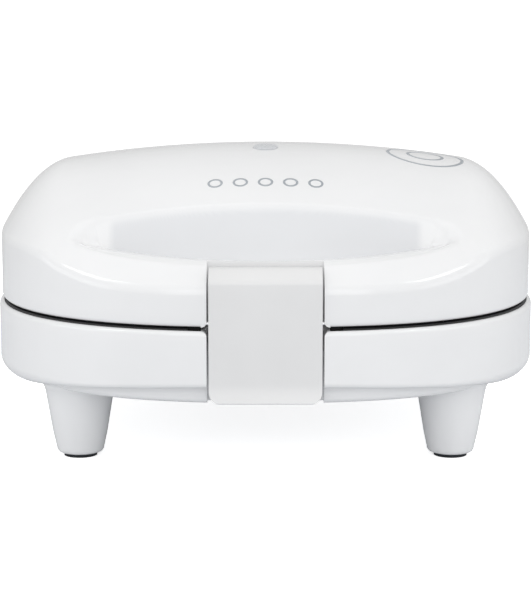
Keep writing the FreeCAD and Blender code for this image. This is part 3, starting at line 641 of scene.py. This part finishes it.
def noise(material, place, scale, detail=3.0, stretch=None):
    """Noise with scale cells per metre; stretch scales the three axes apart."""
    nodes = material.node_tree.nodes
    if stretch is not None:
        mapping = nodes.new("ShaderNodeMapping")
        mapping.inputs["Scale"].default_value = stretch
        link(material, place, mapping.inputs["Vector"])
        place = mapping.outputs["Vector"]
    texture = nodes.new("ShaderNodeTexNoise")
    texture.inputs["Scale"].default_value = scale
    texture.inputs["Detail"].default_value = detail
    link(material, place, texture.inputs["Vector"])
    return texture.outputs["Fac"]


def colour_between(material, factor, dark, light, low=0.35, high=0.65):
    ramp = material.node_tree.nodes.new("ShaderNodeValToRGB")
    ramp.color_ramp.elements[0].position = low
    ramp.color_ramp.elements[1].position = high
    ramp.color_ramp.elements[0].color = (*dark, 1)
    ramp.color_ramp.elements[1].color = (*light, 1)
    link(material, factor, ramp.inputs["Fac"])
    return ramp.outputs["Color"]


def value_between(material, factor, low, high):
    spread = material.node_tree.nodes.new("ShaderNodeMapRange")
    spread.inputs["From Min"].default_value = 0.3
    spread.inputs["From Max"].default_value = 0.7
    spread.inputs["To Min"].default_value = low
    spread.inputs["To Max"].default_value = high
    link(material, factor, spread.inputs["Value"])
    return spread.outputs["Result"]


def bump(material, shader, height, depth):
    """Relief of the given depth in millimetres."""
    relief = material.node_tree.nodes.new("ShaderNodeBump")
    relief.inputs["Strength"].default_value = 1.0
    relief.inputs["Distance"].default_value = depth * MM
    link(material, height, relief.inputs["Height"])
    link(material, relief.outputs["Normal"], shader.inputs["Normal"])


def paint_recess_shade(material, tone):
    """Painted shade: multiplies the colour by tone as the painted-shade weight rises."""
    nodes = material.node_tree.nodes
    shader = nodes["Principled BSDF"]
    plain = shader.inputs["Base Color"].links[0].from_socket
    painted_shade_weight = nodes.new("ShaderNodeAttribute")
    painted_shade_weight.attribute_name = "painted_shade_weight"
    mix = nodes.new("ShaderNodeMix")
    mix.data_type = "RGBA"
    mix.blend_type = "MULTIPLY"
    link(material, painted_shade_weight.outputs["Fac"], mix.inputs["Factor"])
    link(material, plain, mix.inputs["A"])
    mix.inputs["B"].default_value = (*tone, 1)
    link(material, mix.outputs["Result"], shader.inputs["Base Color"])


def moulded(name, dark, light, gloss, grain_scale, grain_depth, coat=0.0):
    """Moulded plastic: faint cloudy colour, uneven gloss and a fine surface grain."""
    material, shader, place = new_material(name)
    cloud = noise(material, place, 18, 4)
    link(material, colour_between(material, cloud, dark, light), shader.inputs["Base Color"])
    fine = noise(material, place, grain_scale, 3)
    link(material, value_between(material, fine, gloss[0], gloss[1]), shader.inputs["Roughness"])
    shader.inputs["Coat Weight"].default_value = coat
    shader.inputs["Coat Roughness"].default_value = 0.06
    bump(material, shader, fine, grain_depth)
    return material


def metal(name, dark, light, gloss, stretch, grain_depth=0.01):
    """Bare metal with drawn or rolled streaks along one axis."""
    material, shader, place = new_material(name)
    streaks = noise(material, place, 900, 4, stretch)
    stain = noise(material, place, 60, 4)
    mix = material.node_tree.nodes.new("ShaderNodeMath")
    mix.operation = "MULTIPLY_ADD"
    mix.inputs[1].default_value = 0.5
    link(material, streaks, mix.inputs[0])
    half = material.node_tree.nodes.new("ShaderNodeMath")
    half.operation = "MULTIPLY"
    half.inputs[1].default_value = 0.5
    link(material, stain, half.inputs[0])
    link(material, half.outputs["Value"], mix.inputs[2])
    link(material, colour_between(material, mix.outputs["Value"], dark, light),
         shader.inputs["Base Color"])
    shader.inputs["Metallic"].default_value = 1.0
    link(material, value_between(material, streaks, gloss[0], gloss[1]), shader.inputs["Roughness"])
    bump(material, shader, streaks, grain_depth)
    return material


def nonstick_material():
    """Sprayed dark coating with pale flecks and a fine orange-peel grain."""
    material, shader, place = new_material("nonstick_coating")
    nodes = material.node_tree.nodes
    flecks = nodes.new("ShaderNodeTexVoronoi")
    flecks.inputs["Scale"].default_value = 900
    link(material, place, flecks.inputs["Vector"])
    tone = colour_between(material, flecks.outputs["Distance"], (0.16, 0.16, 0.165),
                          (0.032, 0.032, 0.034), 0.04, 0.16)
    link(material, tone, shader.inputs["Base Color"])
    grain = noise(material, place, 1400, 3)
    link(material, value_between(material, grain, 0.34, 0.46), shader.inputs["Roughness"])
    shader.inputs["Metallic"].default_value = 0.25
    bump(material, shader, grain, 0.03)
    return material


def heater_material():
    """Heat-tinted tube: straw to blue-grey bands with a dull oxide."""
    material, shader, place = new_material("heater_sheath")
    tint = noise(material, place, 45, 3)
    tone = colour_between(material, tint, (0.16, 0.13, 0.11), (0.36, 0.31, 0.25))
    link(material, tone, shader.inputs["Base Color"])
    shader.inputs["Metallic"].default_value = 1.0
    fine = noise(material, place, 1500, 3)
    link(material, value_between(material, fine, 0.35, 0.55), shader.inputs["Roughness"])
    bump(material, shader, fine, 0.02)
    return material


def woven(name, dark, light, cells):
    """Braided sleeving: two crossing sets of strands."""
    material, shader, place = new_material(name)
    nodes = material.node_tree.nodes
    heights = []
    for lean in (1, -1):
        mapping = nodes.new("ShaderNodeMapping")
        turn = math.radians(45 * lean)
        mapping.inputs["Rotation"].default_value = (turn, 0, turn)
        link(material, place, mapping.inputs["Vector"])
        wave = nodes.new("ShaderNodeTexWave")
        wave.inputs["Scale"].default_value = cells
        wave.inputs["Distortion"].default_value = 0.6
        link(material, mapping.outputs["Vector"], wave.inputs["Vector"])
        heights.append(wave.outputs["Fac"])
    weave = nodes.new("ShaderNodeMath")
    weave.operation = "MAXIMUM"
    link(material, heights[0], weave.inputs[0])
    link(material, heights[1], weave.inputs[1])
    link(material, colour_between(material, weave.outputs["Value"], dark, light),
         shader.inputs["Base Color"])
    fine = noise(material, place, 2500, 2)
    link(material, value_between(material, fine, 0.7, 0.9), shader.inputs["Roughness"])
    bump(material, shader, weave.outputs["Value"], 0.12)
    return material


def glass_material():
    material, shader, place = new_material("lamp_glass")
    cloud = noise(material, place, 300, 2)
    tone = colour_between(material, cloud, (0.85, 0.42, 0.24), (0.96, 0.60, 0.40))
    link(material, tone, shader.inputs["Base Color"])
    shader.inputs["Transmission Weight"].default_value = 0.8
    fine = noise(material, place, 1200, 2)
    link(material, value_between(material, fine, 0.04, 0.12), shader.inputs["Roughness"])
    bump(material, shader, fine, 0.005)
    return material


white_shell = moulded("white_shell", (0.785, 0.788, 0.793), (0.81, 0.813, 0.818), (0.10, 0.16),
                      700, 0.0012, coat=0.1)
# painted shade: the grip recess's rear wall is darkened to this tone in place of its shadow
paint_recess_shade(white_shell, (0.87, 0.877, 0.89))
latch_white = moulded("latch_white", (0.70, 0.70, 0.70), (0.73, 0.73, 0.73), (0.30, 0.38),
                      1800, 0.006)
print_grey = moulded("print_grey", (0.30, 0.33, 0.36), (0.40, 0.43, 0.46), (0.28, 0.40),
                     2500, 0.004)
lens_grey = moulded("lens_grey", (0.52, 0.54, 0.56), (0.60, 0.61, 0.63), (0.22, 0.34),
                    1600, 0.006)
black_frame = moulded("black_frame", (0.012, 0.012, 0.013), (0.022, 0.022, 0.023), (0.45, 0.6),
                      1500, 0.02)
bakelite = moulded("black_bakelite", (0.018, 0.016, 0.015), (0.034, 0.03, 0.028), (0.3, 0.45),
                   800, 0.01)
foot_rubber = moulded("foot_rubber", (0.012, 0.014, 0.017), (0.022, 0.025, 0.03), (0.7, 0.88),
                      2200, 0.03)
ceramic = moulded("white_ceramic", (0.74, 0.72, 0.66), (0.83, 0.81, 0.76), (0.5, 0.7), 1800, 0.02)
gland_grey = moulded("gland_grey", (0.50, 0.51, 0.52), (0.58, 0.59, 0.60), (0.4, 0.55),
                     1500, 0.015)
wire_red = moulded("wire_red", (0.40, 0.02, 0.015), (0.52, 0.035, 0.022), (0.4, 0.55), 1200, 0.01)
wire_grey = moulded("wire_grey", (0.26, 0.27, 0.29), (0.36, 0.37, 0.39), (0.4, 0.55), 1200, 0.01)
shield_steel = metal("shield_steel", (0.50, 0.50, 0.50), (0.68, 0.68, 0.69), (0.25, 0.42),
                     (1, 0.05, 1))
screw_steel = metal("screw_steel", (0.48, 0.48, 0.49), (0.66, 0.66, 0.67), (0.22, 0.36),
                    (1, 1, 1), 0.006)
pin_steel = metal("pin_steel", (0.62, 0.62, 0.63), (0.78, 0.78, 0.79), (0.12, 0.22),
                  (0.05, 1, 1), 0.004)
brass = metal("terminal_brass", (0.62, 0.44, 0.18), (0.80, 0.62, 0.30), (0.22, 0.36),
              (1, 0.1, 1), 0.006)
sleeve_black = woven("sleeve_black", (0.012, 0.012, 0.012), (0.05, 0.05, 0.05), 260)
fuse_sleeve = woven("fuse_sleeve", (0.50, 0.46, 0.38), (0.78, 0.74, 0.64), 320)
slot_materials = {
    "white_shell": white_shell, "latch_white": latch_white, "foot_rubber": foot_rubber,
    "black_frame": black_frame, "nonstick_coating": nonstick_material(),
    "heater_sheath": heater_material(), "white_ceramic": ceramic, "terminal_brass": brass,
    "shield_steel": shield_steel, "screw_steel": screw_steel, "black_bakelite": bakelite,
    "fuse_sleeve": fuse_sleeve, "wire_red": wire_red, "wire_grey": wire_grey,
    "gland_grey": gland_grey, "pin_steel": pin_steel, "sleeve_black": sleeve_black,
    "lens_grey": lens_grey, "lamp_glass": glass_material(),
}


def dress_nodes():
    """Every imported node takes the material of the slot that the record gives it."""
    for subpart in frame["record"]["subparts"]:
        node = frame["nodes"][subpart["node"]]
        material = slot_materials[subpart["material_slot"]]
        for slot in node.material_slots:
            slot.material = material
        if not node.material_slots:
            node.data.materials.append(material)


# ---------------------------------------------------------------- lid

def barrel(name, radius, x0, x1, material, y=hinge_y, z=0.0):
    """A turned bar along x with eased ends."""
    ease = min(0.5, radius * 0.2)
    profile = [(0.0, x0), (radius - ease, x0), (radius - 0.3 * ease, x0 + 0.3 * ease),
               (radius, x0 + ease), (radius, x1 - ease), (radius - 0.3 * ease, x1 - 0.3 * ease),
               (radius - ease, x1), (0.0, x1)]
    return turned(name, profile, (0, y, z), material, 56, "x")


def soften_near(piece, low, high, width):
    """Rounds only the edges over 50 degrees that lie inside the box from low to high."""
    builder = bmesh.new()
    builder.from_mesh(piece.data)
    weights = builder.edges.layers.float.new("bevel_weight_edge")
    limit = math.radians(50)
    a, b = point(*low), point(*high)
    for edge in builder.edges:
        middle = (edge.verts[0].co + edge.verts[1].co) / 2
        inside = all(a[axis] <= middle[axis] <= b[axis] for axis in range(3))
        if inside and len(edge.link_faces) == 2 and edge.calc_face_angle(0) > limit:
            edge[weights] = 1.0
    builder.to_mesh(piece.data)
    builder.free()
    modifier = piece.modifiers.new("bevel", "BEVEL")
    modifier.width = width * MM
    modifier.segments = 3
    modifier.limit_method = "WEIGHT"
    return apply_modifiers(piece)


def ear_room(material):
    """Clearance round the base's hinge ears, cut out of the lid."""
    rooms = []
    for side in (-1, 1):
        x0, x1 = sorted((side * 29.8, side * 41.8))
        rooms.append(barrel("ear_room", hinge_radius + hinge_clearance, x0, x1, material))
    return rooms


def make_lid():
    lid = lid_shell(white_shell)
    liner = block("notch_liner", (-24.8, 1.2, half_gap), (24.8, 17.0, 6), white_shell)
    lid = combine(lid, liner, "UNION")
    lid = combine(lid, notch_cutter(half_gap, 40, lid_notch_depth, white_shell), "DIFFERENCE")
    lid = soften_near(lid, (-26, -3, 2.0), (26, 19, 40), 0.5)
    for side in (-1, 1):
        x0, x1 = sorted((side * 27.7, side * 44.0))
        seat = block("hinge_seat", (x0, 204, half_gap), (x1, 210, 9.5), white_shell)
        lid = combine(lid, seat, "UNION")
    for room in ear_room(white_shell):
        lid = combine(lid, room, "DIFFERENCE")
    for side in (-1, 1):
        x0, x1 = sorted(side * x for x in knuckle_span)
        web = block("hinge_web", (x0, 206, half_gap), (x1, hinge_y, 5.4), white_shell)
        web = combine(web, barrel("knuckle", hinge_radius, x0, x1, white_shell), "UNION")
        lid = combine(lid, web, "UNION")
    slot = block("cable_slot", (-4.5, 200, 5.0), (4.5, 218, 12.0), white_shell)
    lid = combine(lid, slot, "DIFFERENCE")
    lid = combine(lid, lens_socket(), "DIFFERENCE")
    shade_by_angle(lid)
    # weights for the painted shade on the grip recess's rear wall
    mark_recess_shade(lid)
    lid.name = "lid_cover"
    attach(lid, "lid")
    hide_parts("lid_housing")


def mark_recess_shade(lid):
    """Stores the painted-shade weight that darkens the grip recess's rear wall in the shell's
    paint.
    """
    values = lid.data.attributes.new("painted_shade_weight", "FLOAT", "POINT")
    origin = point(0, 0, 0)
    for vertex, value in zip(lid.data.vertices, values.data):
        x, y, z = (vertex.co - origin) / MM
        inside = abs(x) < 75 and 15 < y < 60 and z > 17
        depth = min(max((crown(x, y) - z - 0.6) / 2.0, 0.0), 1.0) if inside else 0.0
        facing = min(max(-vertex.normal.y * 2.5 - 0.6, 0.0), 1.0)
        side = min(max((tip_start + 1.5 - abs(x)) / 3.0, 0.0), 1.0)
        # painted shade: stronger deeper below the crown and on faces turned to the front, fading
        # toward the tips
        value.value = depth * facing * side


def lens_socket():
    """Cutter for the hole that the lamp's lens sits in, square to the crown."""
    profile = [(0, -6), (5.36, -6), (5.36, 3), (0, 3)]
    lens = turned("lens_socket", profile, (0, 0, 0), white_shell)
    slope = 2 * fall_front * (half_depth - lamp_y)
    origin = point(0, 0, 0)
    seat = point(0, lamp_y, crown(0, lamp_y))
    for vertex in lens.data.vertices:
        local = vertex.co - origin
        turned_y = local.y * math.cos(slope) - local.z * math.sin(slope)
        turned_z = local.y * math.sin(slope) + local.z * math.cos(slope)
        vertex.co = seat + Vector((local.x, turned_y, turned_z))
    return lens


# ---------------------------------------------------------------- base

def make_base():
    base = base_shell(white_shell)
    for index, (x, y) in enumerate(leg_places):
        leg = turned("leg_%d" % index, leg_profile(), (x, y, 0), white_shell, 72)
        base = combine(base, leg, "UNION")
    for low_y, low_z, high_z in ((1.2, -21.0, -half_gap), (7.5, -28.5, -20.0)):
        liner = block("notch_liner", (-24.8, low_y, low_z), (24.8, 14.2, high_z), white_shell)
        base = combine(base, liner, "UNION")
    base = combine(base, notch_cutter(-half_gap, -50, base_notch_depth, white_shell), "DIFFERENCE")
    base = soften_near(base, (-26, -3, -31), (26, 15, -2), 0.5)
    ledge = [(base_notch_depth + 1, -12), (base_notch_depth - 4.2, -12),
             (base_notch_depth - 4.2, -9.5), (base_notch_depth + 1, -6.5)]
    base = combine(base, extruded("catch", ledge, -23.6, 23.6, white_shell), "UNION")
    trough = block("hinge_trough", (-32, 205, -14), (32, 212, -half_gap), white_shell)
    base = combine(base, trough, "UNION")
    for side in (-1, 1):
        x0, x1 = sorted(side * x for x in ear_span)
        cheek = [(207, -20), (212.6, -20), (221.9, -1), (hinge_y, -1), (207, -1)]
        ear = extruded("hinge_cheek", cheek, x0, x1, white_shell)
        ear = combine(ear, barrel("hinge_ear", hinge_radius, x0, x1, white_shell), "UNION")
        base = combine(base, ear, "UNION")
    room = barrel("knuckle_room", hinge_radius + hinge_clearance, -29.8, 29.8, white_shell)
    base = combine(base, room, "DIFFERENCE")
    slot = block("cable_slot", (-4.5, 203, -12), (4.5, 218, -5), white_shell)
    base = combine(base, slot, "DIFFERENCE")
    profile = [(0, 200), (4.6, 200), (4.6, 216), (0, 216)]
    gland = turned("gland_hole", profile, (0, 0, 0), white_shell)
    for vertex in gland.data.vertices:
        local = vertex.co - point(0, 0, 0)
        vertex.co = point(0, 0, -17.5) + Vector((local.x, local.z, local.y))
    base = combine(base, gland, "DIFFERENCE")
    shade_by_angle(base)
    base.name = "base_cover"
    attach(base, "base")
    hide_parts("base_housing", "legs")


# ---------------------------------------------------------------- latch

def make_latch():
    latch = latch_body(latch_white)
    hook = [(1.5, -17.5), (1.5, -12.3), (base_notch_depth - 1.7, -12.3),
            (base_notch_depth - 1.7, -13.6), (base_notch_depth - 4.2, -15.4)]
    latch = combine(latch, extruded("latch_hook", hook, -16, 16, latch_white), "UNION")
    for side in (-1, 1):
        x0, x1 = sorted((side * 6.5, side * 21.6))
        hub = barrel("latch_hub", 2.5, x0, x1, latch_white, *latch_pin)
        latch = combine(latch, hub, "UNION")
    bore = barrel("pin_bore", 0.79, -30, 30, latch_white, *latch_pin)
    latch = combine(latch, bore, "DIFFERENCE")
    shade_by_angle(latch)
    latch.name = "latch_rocker"
    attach(latch, "latch")
    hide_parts("latch_clip")


# ---------------------------------------------------------------- printed marks

def printed_ring(name, x, y, radius, width):
    """A thin ring of ink that follows the lid's crown."""
    rings = []
    proud = 0.05
    for reach, lift in ((radius, -0.1), (radius, proud), (radius - width / 2, proud + 0.01),
                        (radius - width, proud), (radius - width, -0.1)):
        ring = []
        for step in range(96):
            turn = 2 * math.pi * step / 96
            px, py = x + reach * math.cos(turn), y + reach * math.sin(turn)
            ring.append(point(px, py, crown(px, py) + lift))
        rings.append(ring)
    columns = len(rings[0])
    vertices = [v for ring in rings for v in ring]
    faces = ring_faces(len(rings), columns)
    last = (len(rings) - 1) * columns
    for column in range(columns):
        after = (column + 1) % columns
        faces.append((column, last + column, last + after, after))
    mark = mesh_object(name, vertices, faces, print_grey)
    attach(mark, "lid")


def make_marks():
    for index in range(5):
        printed_ring("front_mark_%d" % (index + 1), (index - 2) * 10.2, 53.0, 3.1, 0.9)
    printed_ring("side_mark_outer", 68.0, 96.0, 16.5, 1.3)
    printed_ring("side_mark_inner", 68.0, 96.0, 8.0, 1.3)


# ---------------------------------------------------------------- hinge cable

def make_cable():
    """Sleeved lead that loops round the hinge."""
    route = [(203, -8.5), (208.5, -8.5), (213.0, -8.0), (216.6, -5.0), (217.6, 0.0),
             (216.6, 5.0), (213.0, 8.0), (208.0, 8.5), (200, 8.5)]
    curve = bpy.data.curves.new("hinge_sleeve", "CURVE")
    curve.dimensions = "3D"
    curve.bevel_depth = 2.35 * MM
    curve.bevel_resolution = 5
    curve.use_fill_caps = True
    spline = curve.splines.new("NURBS")
    spline.points.add(len(route) - 1)
    for spot, (y, z) in zip(spline.points, route):
        spot.co = (*point(0, y, z), 1)
    spline.order_u = 3
    spline.use_endpoint_u = True
    spline.resolution_u = 8
    holder = bpy.data.objects.new("hinge_sleeve_line", curve)
    bpy.context.scene.collection.objects.link(holder)
    bpy.context.view_layer.update()
    depsgraph = bpy.context.evaluated_depsgraph_get()
    mesh = bpy.data.meshes.new_from_object(holder.evaluated_get(depsgraph))
    bpy.data.objects.remove(holder)
    sleeve = bpy.data.objects.new("hinge_sleeve", mesh)
    bpy.context.scene.collection.objects.link(sleeve)
    mesh.materials.clear()
    mesh.materials.append(sleeve_black)
    for face in mesh.polygons:
        face.use_smooth = True
    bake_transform(sleeve)
    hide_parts("hinge_cable")


# ---------------------------------------------------------------- camera, floor and lights

def make_camera():
    data = bpy.data.cameras.new("camera")
    data.lens = 114.2
    data.sensor_width = 36
    camera = bpy.data.objects.new("camera", data)
    camera.location = (0, front_y - camera_back, part_z + camera_rise)
    camera.rotation_euler = (math.radians(90 - camera_tilt), 0, 0)
    bpy.context.scene.collection.objects.link(camera)
    bpy.context.scene.camera = camera


floor_radius = 0.95
floor_glow = 0.72
floor_bounce = (0.735, 0.75, 0.775, 1)
floor_fade = 0.40


def make_floor():
    """Pale round floor that thins out into the white of the studio at its rim."""
    material, shader, place = new_material("floor_paint")
    nodes = material.node_tree.nodes
    cloud = noise(material, place, 3, 3)
    link(material, colour_between(material, cloud, (0.93, 0.93, 0.935), (0.95, 0.95, 0.955)),
         shader.inputs["Base Color"])
    shader.inputs["Roughness"].default_value = 0.9
    shader.inputs["Specular IOR Level"].default_value = 0.1
    shader.inputs["Emission Color"].default_value = (1, 1, 1, 1)
    shader.inputs["Emission Strength"].default_value = floor_glow
    bounce = nodes.new("ShaderNodeBsdfDiffuse")
    bounce.inputs["Color"].default_value = floor_bounce
    rays = nodes.new("ShaderNodeLightPath")
    both = nodes.new("ShaderNodeMixShader")
    link(material, rays.outputs["Is Camera Ray"], both.inputs["Fac"])
    link(material, bounce.outputs["BSDF"], both.inputs[1])
    link(material, shader.outputs["BSDF"], both.inputs[2])
    distance = nodes.new("ShaderNodeVectorMath")
    distance.operation = "LENGTH"
    link(material, place, distance.inputs[0])
    thin = nodes.new("ShaderNodeMapRange")
    thin.interpolation_type = "SMOOTHSTEP"
    thin.inputs["From Min"].default_value = floor_fade
    thin.inputs["From Max"].default_value = floor_radius - 0.05
    link(material, distance.outputs["Value"], thin.inputs["Value"])
    clear = nodes.new("ShaderNodeBsdfTransparent")
    mix = nodes.new("ShaderNodeMixShader")
    link(material, thin.outputs["Result"], mix.inputs["Fac"])
    link(material, both.outputs["Shader"], mix.inputs[1])
    link(material, clear.outputs["BSDF"], mix.inputs[2])
    link(material, mix.outputs["Shader"], nodes["Material Output"].inputs["Surface"])
    steps = 96
    corners = []
    for step in range(steps):
        turn = 2 * math.pi * step / steps
        corners.append((floor_radius * math.cos(turn), floor_radius * math.sin(turn), 0))
    floor = mesh_object("floor", corners, [tuple(range(steps))], material, smooth=False)
    floor.location.z = cad_low.z


def area_light(name, place, aim, width, height, power):
    data = bpy.data.lights.new(name, "AREA")
    data.shape = "RECTANGLE"
    data.size = width
    data.size_y = height
    data.energy = power
    lamp = bpy.data.objects.new(name, data)
    lamp.location = place
    lamp.rotation_euler = (Vector(aim) - Vector(place)).to_track_quat("-Z", "Y").to_euler()
    bpy.context.scene.collection.objects.link(lamp)


horizon_light = 0.60
sky_light = 0.73


def make_lights():
    world = bpy.data.worlds.new("studio")
    bpy.context.scene.world = world
    world.use_nodes = True
    nodes = world.node_tree.nodes
    links = world.node_tree.links
    background = nodes["Background"]
    sky = nodes.new("ShaderNodeTexCoord")
    toward = nodes.new("ShaderNodeVectorMath")
    toward.operation = "DOT_PRODUCT"
    toward.inputs[1].default_value = (0, -0.3, 0.954)
    shade = nodes.new("ShaderNodeMapRange")
    shade.inputs["From Min"].default_value = -0.1
    shade.inputs["From Max"].default_value = 0.7
    shade.inputs["To Min"].default_value = horizon_light
    shade.inputs["To Max"].default_value = sky_light
    links.new(sky.outputs["Generated"], toward.inputs[0])
    links.new(toward.outputs["Value"], shade.inputs["Value"])
    links.new(shade.outputs["Result"], background.inputs["Strength"])
    background.inputs["Color"].default_value = (1, 1, 1, 1)
    seen = nodes.new("ShaderNodeBackground")
    seen.inputs["Color"].default_value = (1, 1, 1, 1)
    seen.inputs["Strength"].default_value = 1.2
    rays = nodes.new("ShaderNodeLightPath")
    mix = nodes.new("ShaderNodeMixShader")
    links.new(rays.outputs["Is Camera Ray"], mix.inputs["Fac"])
    links.new(background.outputs["Background"], mix.inputs[1])
    links.new(seen.outputs["Background"], mix.inputs[2])
    links.new(mix.outputs["Shader"], nodes["World Output"].inputs["Surface"])
    area_light("softbox_top", (0, -0.35, 1.5), (0, 0, 0.05), 1.6, 1.2, 2.0)
    area_light("softbox_front", (0, -1.45, 0.65), (0, 0, 0.06), 1.6, 1.0, 5.6)
    for side, word in ((-1, "left"), (1, "right")):
        area_light("softbox_" + word, (side * 1.2, -0.45, 0.3), (0, 0, 0.05), 0.9, 0.5, 1.6)
        area_light("ridge_" + word, (side * 0.76, -0.34, 0.98), (0, 0, 0.08), 0.3, 0.3, 1.3)
    bpy.context.scene.view_settings.view_transform = "Standard"


dress_nodes()
make_lid()
make_base()
make_latch()
make_marks()
make_cable()
make_camera()
make_floor()
make_lights()
